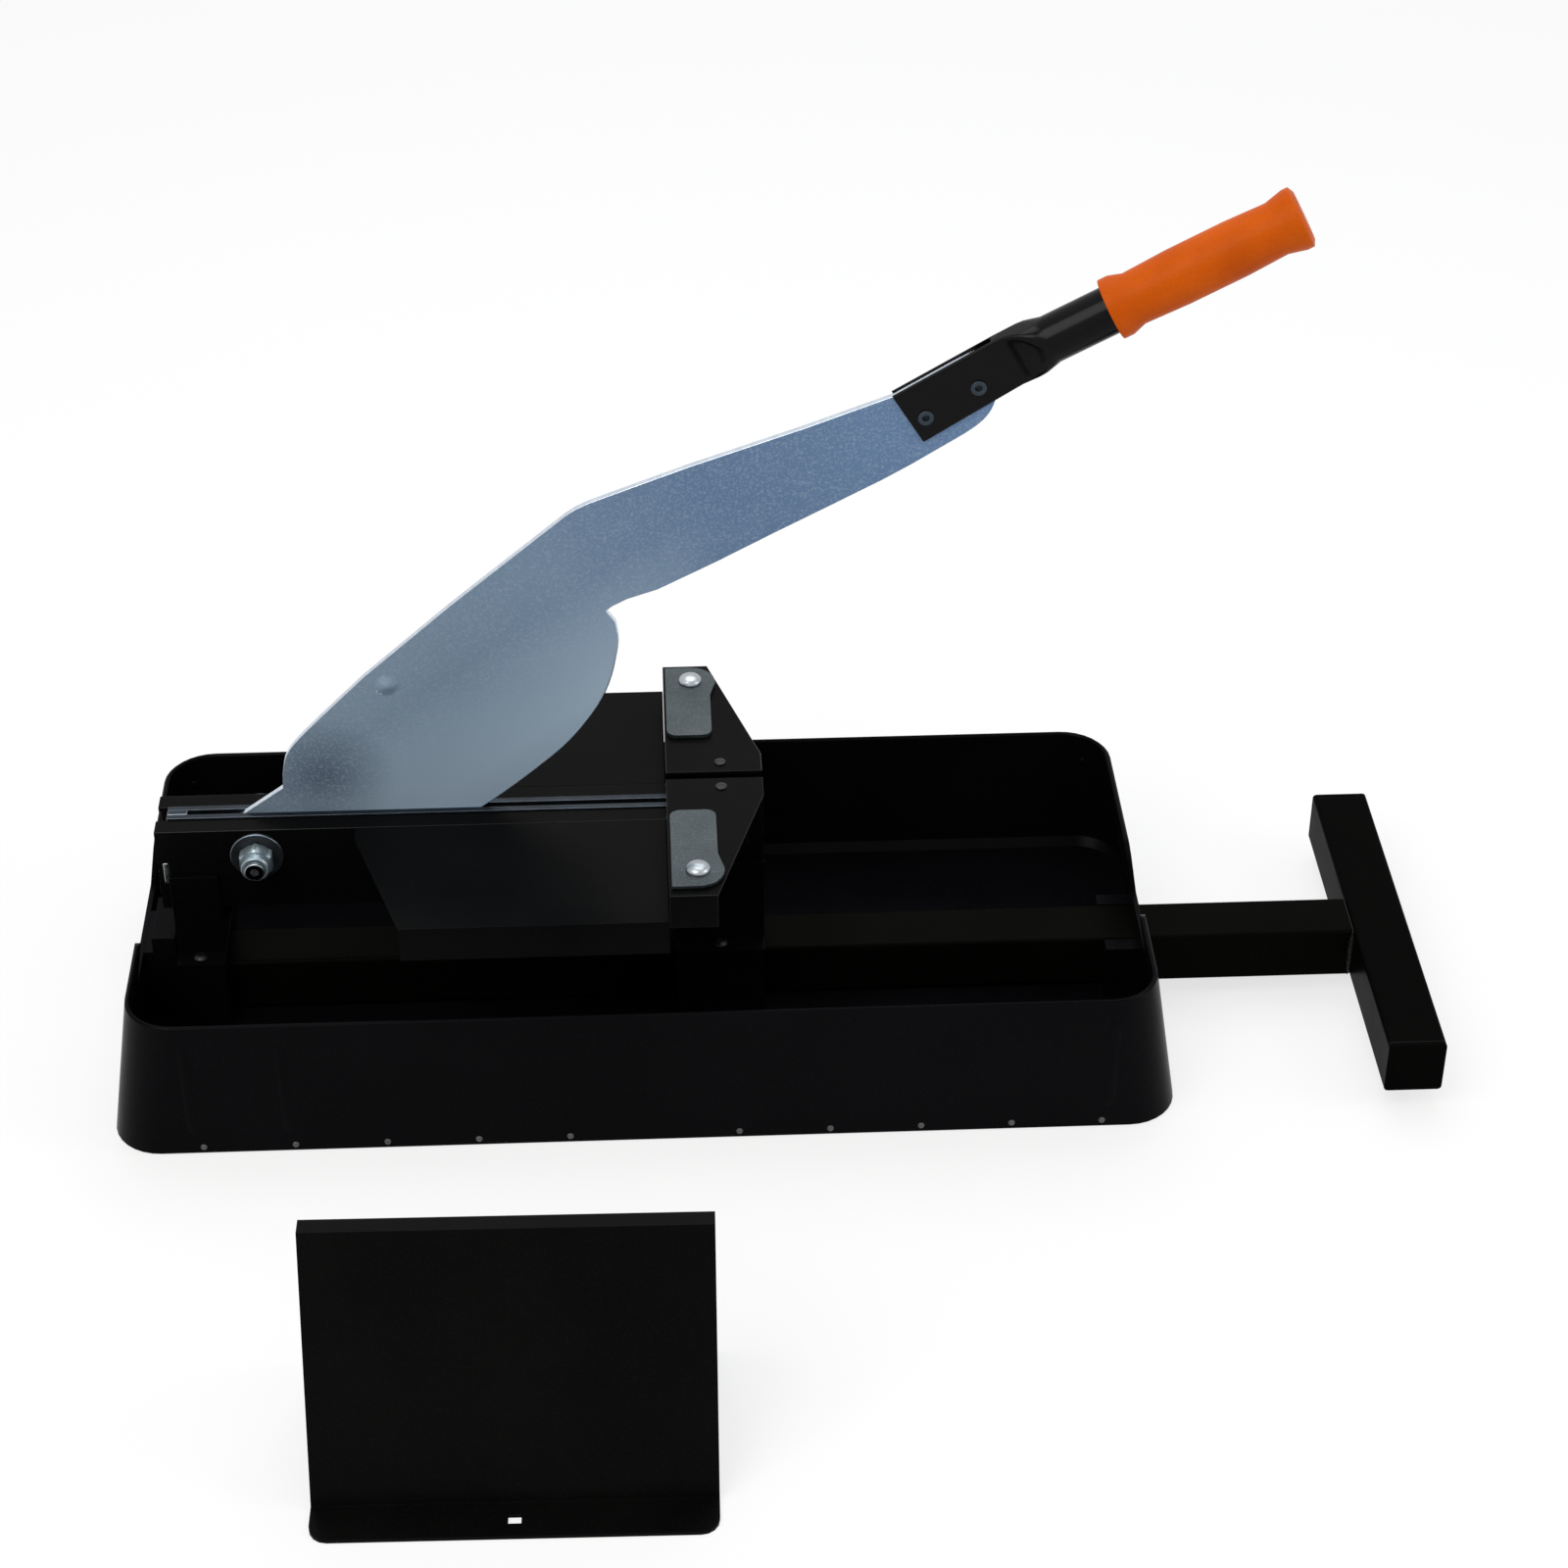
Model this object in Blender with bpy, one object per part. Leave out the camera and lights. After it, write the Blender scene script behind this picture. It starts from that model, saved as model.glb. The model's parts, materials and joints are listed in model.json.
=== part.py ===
# A bench cutter for laminate and vinyl planks: a lever blade that swings between two counter blades,
# a steel frame in a moulded tray, a pull-out T-shaped stabiliser and a loose stand for the plank's end.
# Run with: blender --background --python part.py
# Metres, +Z up. The origin is the middle of the tray's underside, X runs along the blade, the user is at -Y.

import math

import bmesh
import bpy
from mathutils import Matrix, Vector

# Shared clearances and counts
GAP = 0.0003                     # left between faces that touch
OVERRUN = 0.004                  # how far a cutter runs past what it cuts
ROUND_SIDES = 28                 # sides of a large round piece
SMALL_SIDES = 16                 # sides of a small round piece
CURVE_STEPS = 3
CORNER_STEPS = 4                 # segments in a quarter turn
EDGE_BREAK = 0.0004              # small bevel on cut sheet

# Tray, one moulding
TRAY_LENGTH = 0.605              # over the rim
TRAY_WIDTH = 0.280
TRAY_HEIGHT = 0.098
TRAY_DRAFT = 0.0025              # the long walls lean in by this at the bench
TRAY_FLARE = 0.016               # the end walls lean out by this at the bench
TRAY_WALL = 0.003
TRAY_CORNER = 0.030
TRAY_FLOOR = 0.003
TRAY_FLOOR_RISE = 0.009          # underside of the floor above the bench
TRAY_RIM_ROUND = 0.0010
TRAY_FILLET = 0.005              # between the floor and the walls
FOOT_BAR_WIDTH = 0.040
FOOT_BAR_IN = 0.0925             # foot bar's end from the tray's rim
DIP_FRONT = -0.050               # front end of the dip in each end wall, along Y
LEFT_DIP_BACK = 0.048
RIGHT_DIP_BACK = 0.012
DIP_BOTTOM = 0.062
DIP_ROUND = 0.012
TUNNEL_DEPTH = 0.014             # the block inside each end wall that holds the stem
TUNNEL_WIDTH = 0.042
TUNNEL_TOP = 0.072               # left block, closed over the stem
CHEEK_WIDTH = 0.056
CHEEK_DROP = 0.0008              # right block's top below the stem's, open over it
PEDESTAL_TOP = 0.058             # blocks that carry the frame
PEDESTAL_WIDTH = 0.016           # along Y

# Frame: two L-shaped rails, each with a raised end, on two stands
RAIL_SHEET = 0.003
RAIL_IN = 0.0125                 # rails' left end from the tray's rim
RAIL_LENGTH = 0.364
RAIL_TOP = 0.150                 # what the plank lies on
RAIL_BOTTOM = 0.0935
RAIL_HALF = 0.0188               # outer face of a rail from the blade's plane
RAIL_LIP = 0.0068                # inner edge of a rail's top flange from the blade's plane
STEP_LENGTH = 0.058              # length of the raised end
FENCE_TOP = 0.1685
STAND_SHEET = 0.003
STAND_RISE = 0.060               # height of a stand's cheeks
LEFT_STAND_IN = 0.006            # left stand from the rails' left end
LEFT_STAND_LENGTH = 0.029
RIGHT_STAND_LENGTH = 0.054
STAND_SCREW = 0.005
STAND_SCREW_HEAD = 0.009
STAND_SCREW_HEAD_HEIGHT = 0.003
STAND_SCREW_LENGTH = 0.016

# Bed plates under the plank and raised fence plates beside it
BED_SHEET = 0.0025
BED_IN = 0.120                   # bed plates' left end from the rails'
BED_HALF = 0.120                 # outer edge from the blade's plane
BED_APRON = 0.023
BED_CORNER_ALONG = 0.030         # the slanting corner, along X
BED_CORNER_ACROSS = 0.090        # and along Y
FENCE_SLOT_HALF = 0.0035
FENCE_CORNER_ALONG = 0.030
FENCE_CORNER_START = 0.022       # from the blade's plane to where the slant begins
FENCE_SCREW = 0.004
FENCE_SCREW_HEAD = 0.007
FENCE_SCREW_HEAD_HEIGHT = 0.0012
FENCE_SCREW_LENGTH = 0.009
FENCE_SCREW_IN = 0.025           # from the fence plate's right edge

# Swivelling stop plates and their rivets
STOP_SHEET = 0.0025
STOP_WIDTH = 0.0275
STOP_INNER = 0.039               # inner end from the blade's plane
STOP_RIVET_OUT = 0.0985          # rivet from the blade's plane
STOP_RIVET_IN = 0.0170           # rivet from the fence plate's left edge
STOP_SETBACK = 0.0015            # plate's left edge from the fence plate's
STOP_EAR = 0.0155                # radius of the plate's ear round the rivet
STOP_ROUND = 0.006
RIVET_HEAD = 0.0145
RIVET_HEAD_HEIGHT = 0.0042
RIVET_SHANK = 0.006
RIVET_TAIL = 0.010
RIVET_TAIL_HEIGHT = 0.0020

# Counter blades either side of the slot that the blade swings in
COUNTER_THICK = 0.004
COUNTER_HEIGHT = 0.030
COUNTER_PROUD = 0.001            # above the rails' top
COUNTER_IN = 0.004               # counter blades' right end from the rails'
COUNTER_ROUND = 0.010            # rounded lower corners
COUNTER_END_LENGTH = 0.012
KEY_WIDTH = 0.003
KEY_HEIGHT = 0.014
KEY_IN = 0.0045                  # key's middle from the rail's left end
KEY_DROP = 0.030                 # key's middle below the rail's top

# Lever blade
BLADE_THICK = 0.004
SLOT_CLEARANCE = 0.0003          # blade to counter blade
PIVOT_IN = 0.060                 # pivot from the rails' left end
PIVOT_DROP = 0.0175              # pivot below the rails' top
BLADE_LENGTH = 0.430             # from the pivot to the end of the arm, along X
BLADE_BUSH_WALL = 0.003
BLADE_RIVET_HEAD = 0.0155
BLADE_RIVET_HEAD_HEIGHT = 0.0018
BLADE_RIVET_SHANK = 0.008
BLADE_RIVET_SHARES = (0.1945, 0.2500)

# Pivot bolt and what is on it
PIVOT_BOLT = 0.012
RUNNING = 0.0003                 # radial clearance of a turning fit
PIVOT_HEAD_ACROSS = 0.019
PIVOT_HEAD_HEIGHT = 0.0075
PIVOT_NUT_HEIGHT = 0.010
PIVOT_NUT_COLLAR = 0.0035
PIVOT_NUT_COLLAR_INSET = 0.0018
PIVOT_WASHER = 0.032
PIVOT_WASHER_THICK = 0.0025
PIVOT_BOLT_PROUD = 0.0025
SPACER_WALL = 0.0045

# Bolt through the right ends of the counter blades
END_BOLT = 0.008
END_BOLT_IN = 0.012              # from the counter blades' right end
END_BOLT_HEAD_ACROSS = 0.013
END_BOLT_HEAD_HEIGHT = 0.0053
END_NUT_HEIGHT = 0.0065
END_BOLT_PROUD = 0.002

# Handle: a tube flattened into a fork that holds the blade's arm
TUBE_DIAMETER = 0.0275
TUBE_WALL = 0.002
FORK_TURN = 0.5585               # slope of the fork, radians
FORK_BLEND = 0.026               # length over which the flat turns round
FORK_SQUARENESS = 6              # how flat the pressed end's section is
TUBE_TURN = 0.490                # slope of the tube beyond the fork
TUBE_LENGTH = 0.175
FORK_RIVET_HEAD = 0.0092
FORK_RIVET_HEAD_HEIGHT = 0.0008
FORK_RIVET_SHANK = 0.006
FORK_RIVET_BORE = 0.0042
FORK_RIVET_BORE_DEPTH = 0.003
GRIP_START = 0.037               # from the end of the blend
GRIP_LENGTH = 0.111
GRIP_DIAMETER = 0.0325
GRIP_COLLAR = 0.0355
GRIP_COLLAR_LENGTH = 0.006
GRIP_WAIST = 0.0305
GRIP_END = 0.0355
GRIP_END_THICK = 0.0035

# T-shaped stabiliser of square tube
BAR_SECTION = 0.035
BAR_WALL = 0.0025
BAR_BOTTOM = 0.0142
BAR_OUT = 0.1395                 # crossbar from the tray's rim
BAR_CROSS_LENGTH = 0.252
BAR_GUIDE_GAP = 0.0006           # stem to the tunnels and pedestals
CAP_THICK = 0.003
CAP_PLUG = 0.012
CAP_PLUG_WALL = 0.003
FOOT_DIAMETER = 0.024
FOOT_IN = 0.034                  # foot's middle from the crossbar's end
PAD_WIDTH = 0.026

# Loose stand for the far end of the plank
SUPPORT_SHEET = 0.0025
SUPPORT_WIDTH = 0.2145
SUPPORT_HEIGHT = 0.150
SUPPORT_LEAN = 0.050             # how far the face leans back over its height
SUPPORT_TOP_DEPTH = 0.010
SUPPORT_FOOT = 0.0235            # the flange in front
SUPPORT_FOOT_ROUND = 0.010
SUPPORT_ALONG = -0.0735          # middle of the stand
SUPPORT_ACROSS = -0.4230         # fold between flange and face
SUPPORT_TURN = -0.0155           # it stands slightly askew, radians
SUPPORT_HOLE_LENGTH = 0.007
SUPPORT_HOLE_WIDTH = 0.006

# Outline of the blade in shares of its length, from the pivot, in the pose shown
HEEL_RADIUS_SHARE = 0.0445
HEEL_SHARES = ((0.0398, 0.0838), (0.0409, 0.0988), (0.0429, 0.1153), (0.0472, 0.1334), (0.0547, 0.1486),
               (0.0643, 0.1607), (0.0777, 0.1760), (0.0996, 0.1988))
BACK_SHARES = ((0.1640, 0.2640), (0.2893, 0.3763), (0.4480, 0.5110), (0.4620, 0.5205), (0.4790, 0.5290),
               (0.6084, 0.5793), (0.7626, 0.6340), (0.8786, 0.6784))
ARM_END_SHARES = ((0.9284, 0.7084), (0.9745, 0.7356), (0.9912, 0.7395), (1.0056, 0.7319), (1.0152, 0.7188),
                  (1.0200, 0.6998), (1.0150, 0.6800), (1.0085, 0.6575), (0.9971, 0.6404), (0.9806, 0.6262),
                  (0.9555, 0.6093), (0.9047, 0.5768))
ARM_SHARES = ((0.8664, 0.5541), (0.8020, 0.5190), (0.7240, 0.4769), (0.6453, 0.4334), (0.5672, 0.3929),
              (0.5260, 0.3789), (0.5058, 0.3680), (0.4970, 0.3610))
LOBE_SHARES = ((0.5100, 0.3420), (0.5131, 0.3180), (0.5103, 0.2940), (0.5020, 0.2558), (0.4880, 0.2190),
               (0.4670, 0.1842), (0.4405, 0.1500), (0.4105, 0.1202), (0.3505, 0.0690), (0.2900, 0.0250),
               (0.2300, -0.0090), (0.1650, -0.0330), (0.1000, -0.0470))

# Fork on the arm, in shares of the blade's length; the rivets and the slot in shares of the fork
FORK_START_SHARES = (0.8988, 0.6460)
FORK_LENGTH_SHARE = 0.1512
FORK_HEIGHT_SHARE = 0.0802
FORK_END_SHARE = 0.0756
FORK_SLOT_SHARE = 0.968
FORK_RIVET_SHARES = ((0.138, -0.062), (0.665, -0.062))
BLEND_SHARES = (0.15, 0.32, 0.48, 0.64, 0.82, 1.00)

# Grip's profile: where along it the waists, the belly and the flare are
GRIP_WAIST_SHARES = (0.12, 0.86)
GRIP_BELLY_SHARES = (0.35, 0.65)
GRIP_FLARE_SHARE = 0.95

# Places worked out from the sizes above
FLOOR_TOP = TRAY_FLOOR_RISE + TRAY_FLOOR
RAIL_LEFT = RAIL_IN - TRAY_LENGTH / 2
RAIL_RIGHT = RAIL_LEFT + RAIL_LENGTH
STEP_LEFT = RAIL_RIGHT - STEP_LENGTH
LEFT_STAND_LEFT = RAIL_LEFT + LEFT_STAND_IN
RIGHT_STAND_LEFT = RAIL_RIGHT - RIGHT_STAND_LENGTH
BED_LEFT = RAIL_LEFT + BED_IN
COUNTER_RIGHT = RAIL_RIGHT - COUNTER_IN
PIVOT_ALONG = RAIL_LEFT + PIVOT_IN
PIVOT_HEIGHT = RAIL_TOP - PIVOT_DROP
FORK_ALONG = BLADE_LENGTH * FORK_START_SHARES[0]
FORK_UP = BLADE_LENGTH * FORK_START_SHARES[1]
FORK_LENGTH = BLADE_LENGTH * FORK_LENGTH_SHARE
FORK_HEIGHT = BLADE_LENGTH * FORK_HEIGHT_SHARE
FORK_END_HEIGHT = BLADE_LENGTH * FORK_END_SHARE
FORK_SLOT_END = FORK_LENGTH * FORK_SLOT_SHARE
RAIL_INNER = RAIL_HALF - RAIL_SHEET
STAND_INNER = RAIL_HALF + GAP
STAND_OUTER = STAND_INNER + STAND_SHEET
STAND_BASE = PEDESTAL_TOP + GAP
STEM_HALF = BAR_SECTION / 2
PEDESTAL_INNER = STEM_HALF + BAR_GUIDE_GAP
PEDESTAL_OUTER = PEDESTAL_INNER + PEDESTAL_WIDTH
STAND_SCREW_OUT = (STAND_OUTER + PEDESTAL_OUTER) / 2
FENCE_UNDER = FENCE_TOP - BED_SHEET
RAISED_TOP = FENCE_UNDER - GAP
KEY_ALONG = RAIL_LEFT + KEY_IN
KEY_UP = RAIL_TOP - KEY_DROP
COUNTER_LEFT = KEY_ALONG + KEY_WIDTH / 2 + GAP
COUNTER_INNER = BLADE_THICK / 2 + SLOT_CLEARANCE
COUNTER_OUTER = COUNTER_INNER + COUNTER_THICK
COUNTER_TOP = RAIL_TOP + COUNTER_PROUD
COUNTER_BOTTOM = COUNTER_TOP - COUNTER_HEIGHT
END_BOLT_ALONG = COUNTER_RIGHT - END_BOLT_IN
END_BOLT_UP = COUNTER_BOTTOM + COUNTER_HEIGHT / 2
PIVOT = Vector((PIVOT_ALONG, 0, PIVOT_HEIGHT))
FORK_THICK = BLADE_THICK + 2 * GAP + 2 * TUBE_WALL
BAR_ORIGIN = Vector((TRAY_LENGTH / 2, 0, BAR_BOTTOM + STEM_HALF))
CHEEK_TOP = BAR_BOTTOM + BAR_SECTION - CHEEK_DROP
BAR_CROSS_LEFT = TRAY_LENGTH / 2 + BAR_OUT
BAR_STOP = TRAY_WALL + TUNNEL_DEPTH / 4 - TRAY_LENGTH / 2
BAR_STEM_LEFT = BAR_STOP + GAP + CAP_THICK + GAP

BLACK_PLASTIC = ("black_plastic", (0.012, 0.012, 0.014), 0.42, 0.0)
BLACK_PAINT = ("black_paint", (0.010, 0.010, 0.011), 0.38, 0.0)
OLIVE_PAINT = ("tube_paint", (0.014, 0.014, 0.012), 0.45, 0.0)
BLADE_STEEL = ("blade_steel", (0.36, 0.43, 0.50), 0.36, 0.9)
ZINC = ("zinc", (0.55, 0.58, 0.60), 0.32, 1.0)
BRONZE = ("bronze", (0.45, 0.30, 0.14), 0.40, 1.0)
ORANGE_RUBBER = ("orange_rubber", (0.85, 0.23, 0.02), 0.55, 0.0)
BLACK_RUBBER = ("black_rubber", (0.02, 0.02, 0.02), 0.80, 0.0)
WHITE_NYLON = ("white_nylon", (0.75, 0.75, 0.70), 0.50, 0.0)


def clear_scene():
    for obj in list(bpy.data.objects):
        bpy.data.objects.remove(obj, do_unlink=True)


def material(kind):
    name, colour, roughness, metallic = kind
    found = bpy.data.materials.get(name)
    if found:
        return found
    made = bpy.data.materials.new(name)
    made.use_nodes = True
    shader = made.node_tree.nodes["Principled BSDF"]
    shader.inputs["Base Color"].default_value = (*colour, 1)
    shader.inputs["Roughness"].default_value = roughness
    shader.inputs["Metallic"].default_value = metallic
    return made


def empty(name, location):
    made = bpy.data.objects.new(name, None)
    bpy.context.scene.collection.objects.link(made)
    made.location = location
    return made


def finish(name, bm, kind, location=(0, 0, 0), parent=None, smooth=False):
    """Turns a bmesh into an object whose location is given in the parent's frame."""
    bmesh.ops.recalc_face_normals(bm, faces=bm.faces)
    mesh = bpy.data.meshes.new(name)
    bm.to_mesh(mesh)
    bm.free()
    made = bpy.data.objects.new(name, mesh)
    bpy.context.scene.collection.objects.link(made)
    if kind:
        mesh.materials.append(material(kind))
    if smooth:
        mesh.shade_smooth()
        mesh.set_sharp_from_angle(angle=math.radians(35))
    made.location = location
    made.parent = parent
    return made


def oriented(axis, flat, along):
    """A point from its two flat coordinates and its place along the axis."""
    first, second = flat
    if axis == "X":
        return Vector((along, first, second))
    if axis == "Y":
        return Vector((first, along, second))
    return Vector((first, second, along))


def prism_mesh(axis, outline, low, high):
    bm = bmesh.new()
    ends = [[bm.verts.new(oriented(axis, flat, along)) for flat in outline] for along in (low, high)]
    bm.faces.new(ends[0])
    bm.faces.new(list(reversed(ends[1])))
    count = len(outline)
    for i in range(count):
        j = (i + 1) % count
        bm.faces.new((ends[0][i], ends[1][i], ends[1][j], ends[0][j]))
    return bm


def prism(name, axis, outline, low, high, kind, location=(0, 0, 0), parent=None, smooth=False):
    return finish(name, prism_mesh(axis, outline, low, high), kind, location, parent, smooth)


def rectangle(left, right, low, high):
    return [(left, low), (right, low), (right, high), (left, high)]


def box(name, x, y, z, kind, location=(0, 0, 0), parent=None):
    return prism(name, "Z", rectangle(*x, *y), *z, kind, location, parent)


def circle(radius, sides, centre=(0, 0)):
    turn = 2 * math.pi / sides
    return [(centre[0] + radius * math.cos(turn * i), centre[1] + radius * math.sin(turn * i))
            for i in range(sides)]


def arc(centre, radius, start, end, steps):
    """Points on an arc, angles in degrees, both ends included."""
    points = []
    for i in range(steps + 1):
        angle = math.radians(start + (end - start) * i / steps)
        points.append((centre[0] + radius * math.cos(angle), centre[1] + radius * math.sin(angle)))
    return points


def rounded(left, right, low, high, radius, steps=CORNER_STEPS):
    """A rectangle with rounded corners, counterclockwise."""
    return (arc((right - radius, low + radius), radius, -90, 0, steps)
            + arc((right - radius, high - radius), radius, 0, 90, steps)
            + arc((left + radius, high - radius), radius, 90, 180, steps)
            + arc((left + radius, low + radius), radius, 180, 270, steps))


def lathe_mesh(axis, profile, sides):
    """Turns a profile of (radius, along) points that starts and ends on the axis."""
    bm = bmesh.new()
    rings = []
    for radius, along in profile:
        if radius:
            rings.append([bm.verts.new(oriented(axis, flat, along)) for flat in circle(radius, sides)])
        else:
            rings.append([bm.verts.new(oriented(axis, (0, 0), along))])
    for lower, upper in zip(rings, rings[1:]):
        for i in range(sides):
            j = (i + 1) % sides
            corners = [lower[i % len(lower)], lower[j % len(lower)], upper[j % len(upper)], upper[i % len(upper)]]
            bm.faces.new(list(dict.fromkeys(corners)))
    return bm


def lathe(name, axis, profile, kind, sides=ROUND_SIDES, location=(0, 0, 0), parent=None):
    return finish(name, lathe_mesh(axis, profile, sides), kind, location, parent, smooth=True)


def ring_mesh(axis, outer, inner, low, high, sides):
    """A short tube."""
    bm = bmesh.new()
    rings = []
    for radius, along in ((outer, low), (outer, high), (inner, high), (inner, low)):
        rings.append([bm.verts.new(oriented(axis, flat, along)) for flat in circle(radius, sides)])
    for k in range(len(rings)):
        first, second = rings[k], rings[(k + 1) % len(rings)]
        for i in range(sides):
            j = (i + 1) % sides
            bm.faces.new((first[i], first[j], second[j], second[i]))
    return bm


def ring(name, axis, outer, inner, low, high, kind, sides=ROUND_SIDES, location=(0, 0, 0), parent=None):
    return finish(name, ring_mesh(axis, outer, inner, low, high, sides), kind, location, parent, smooth=True)


def boolean(target, helpers, operation):
    """Adds a Boolean modifier for each helper and keeps the helpers out of the model."""
    for helper in helpers:
        helper.hide_render = True
        helper.display_type = "WIRE"
        modifier = target.modifiers.new(helper.name, "BOOLEAN")
        modifier.operation = operation
        modifier.object = helper
        modifier.solver = "EXACT"
    return target


def cut(target, *helpers):
    return boolean(target, helpers, "DIFFERENCE")


def join(target, *helpers):
    return boolean(target, helpers, "UNION")


def hole(name, axis, radius, flat, low, high, parent=None, sides=SMALL_SIDES):
    """A round cutter along the axis."""
    return prism(name, axis, circle(radius, sides, flat), low - OVERRUN, high + OVERRUN, None, (0, 0, 0), parent)


def tray_ring(bm, inset, corner, height):
    """One closed loop of the tray's walls at a height, moved by the walls' lean there."""
    depth_share = 1 - height / TRAY_HEIGHT
    half_length = TRAY_LENGTH / 2 + TRAY_FLARE * depth_share - inset
    half_width = TRAY_WIDTH / 2 - TRAY_DRAFT * depth_share - inset
    outline = rounded(-half_length, half_length, -half_width, half_width, corner, 2 * CORNER_STEPS)
    return [bm.verts.new((x, y, height)) for x, y in outline]


def tray_shell():
    bm = bmesh.new()
    inner_corner = TRAY_CORNER - TRAY_WALL
    rings = [tray_ring(bm, TRAY_WALL, inner_corner, TRAY_FLOOR_RISE),
             tray_ring(bm, TRAY_WALL, inner_corner, 0),
             tray_ring(bm, TRAY_RIM_ROUND, TRAY_CORNER - TRAY_RIM_ROUND, 0),
             tray_ring(bm, 0, TRAY_CORNER, TRAY_RIM_ROUND),
             tray_ring(bm, 0, TRAY_CORNER, TRAY_HEIGHT - TRAY_RIM_ROUND),
             tray_ring(bm, TRAY_RIM_ROUND, TRAY_CORNER - TRAY_RIM_ROUND, TRAY_HEIGHT),
             tray_ring(bm, TRAY_WALL - TRAY_RIM_ROUND, inner_corner + TRAY_RIM_ROUND, TRAY_HEIGHT),
             tray_ring(bm, TRAY_WALL, inner_corner, TRAY_HEIGHT - TRAY_RIM_ROUND),
             tray_ring(bm, TRAY_WALL, inner_corner, FLOOR_TOP + TRAY_FILLET),
             tray_ring(bm, TRAY_WALL + TRAY_FILLET, inner_corner - TRAY_FILLET, FLOOR_TOP)]
    bm.faces.new(list(reversed(rings[0])))
    for lower, upper in zip(rings, rings[1:]):
        for i in range(len(lower)):
            j = (i + 1) % len(lower)
            bm.faces.new((lower[i], lower[j], upper[j], upper[i]))
    bm.faces.new(rings[-1])
    return finish("tray", bm, BLACK_PLASTIC, smooth=True)


def dip_outline(back_end):
    """The dip in an end wall: square at the bottom, rounded over at the rim."""
    top = TRAY_HEIGHT + OVERRUN
    round_low = TRAY_HEIGHT - DIP_ROUND
    front = arc((DIP_FRONT - DIP_ROUND, round_low), DIP_ROUND, 90, 0, CORNER_STEPS)
    back = arc((back_end + DIP_ROUND, round_low), DIP_ROUND, 180, 90, CORNER_STEPS)
    return ([(DIP_FRONT - DIP_ROUND, top)] + front
            + [(DIP_FRONT, DIP_BOTTOM), (back_end, DIP_BOTTOM)] + back
            + [(back_end + DIP_ROUND, top)])


def wall_middle(height):
    """Middle of an end wall's thickness at a height, from the tray's centre."""
    return TRAY_LENGTH / 2 + TRAY_FLARE * (1 - height / TRAY_HEIGHT) - TRAY_WALL / 2


def stem_block(name, sign, top, width):
    """The block inside an end wall that the stem runs in; it stops short of the dip in the wall."""
    outer = TRAY_LENGTH / 2 - TRAY_WALL
    inner = outer - TUNNEL_DEPTH
    low = FLOOR_TOP - TRAY_FLOOR / 2
    step = min(top, DIP_BOTTOM - GAP)
    outline = [(inner, low), (wall_middle(low), low), (wall_middle(step), step)]
    if top > step:
        outline += [(outer, step), (outer, top)]
    outline.append((inner, top))
    return prism(name, "Y", [(sign * x, z) for x, z in outline], -width / 2, width / 2, None)


def tray():
    """The tray with its foot bar, end blocks, pedestals, wall dips, the stem's pocket and its way out."""
    shell = tray_shell()
    end = TRAY_LENGTH / 2
    foot_end = end - FOOT_BAR_IN
    join(shell, box("foot_bar", (-foot_end, foot_end), (-FOOT_BAR_WIDTH / 2, FOOT_BAR_WIDTH / 2),
                    (0, TRAY_FLOOR_RISE + TRAY_FLOOR / 2), None))
    for name, sign, back_end, top, width in (("left", -1, LEFT_DIP_BACK, TUNNEL_TOP, TUNNEL_WIDTH),
                                             ("right", 1, RIGHT_DIP_BACK, CHEEK_TOP, CHEEK_WIDTH)):
        wall = sorted((sign * (end + TRAY_FLARE + OVERRUN), sign * (end - TRAY_WALL - OVERRUN)))
        cut(shell, prism(name + "_dip", "X", dip_outline(back_end), *wall, None))
        join(shell, stem_block(name + "_stem_block", sign, top, width))
    for name, left, length in (("left", LEFT_STAND_LEFT, LEFT_STAND_LENGTH),
                               ("right", RIGHT_STAND_LEFT, RIGHT_STAND_LENGTH)):
        for side, sign in (("front", -1), ("back", 1)):
            across = sorted((sign * PEDESTAL_INNER, sign * PEDESTAL_OUTER))
            join(shell, box(name + "_" + side + "_pedestal", (left, left + length), across,
                            (FLOOR_TOP - TRAY_FLOOR / 2, PEDESTAL_TOP), None))
            bore = hole(name + "_" + side + "_bore", "Z", STAND_SCREW / 2 + GAP,
                        (left + length / 2, sign * STAND_SCREW_OUT),
                        PEDESTAL_TOP - STAND_SCREW_LENGTH, PEDESTAL_TOP)
            cut(shell, bore)
    half = STEM_HALF + BAR_GUIDE_GAP
    tunnel_face = end - TRAY_WALL - TUNNEL_DEPTH - OVERRUN
    for name, reach in (("left_pocket", (BAR_STOP, -tunnel_face)),
                        ("right_way", (tunnel_face, end + TRAY_FLARE + OVERRUN))):
        cut(shell, box(name, reach, (-half, half), (FLOOR_TOP + GAP, BAR_BOTTOM + BAR_SECTION + BAR_GUIDE_GAP), None))
    return shell


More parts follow.
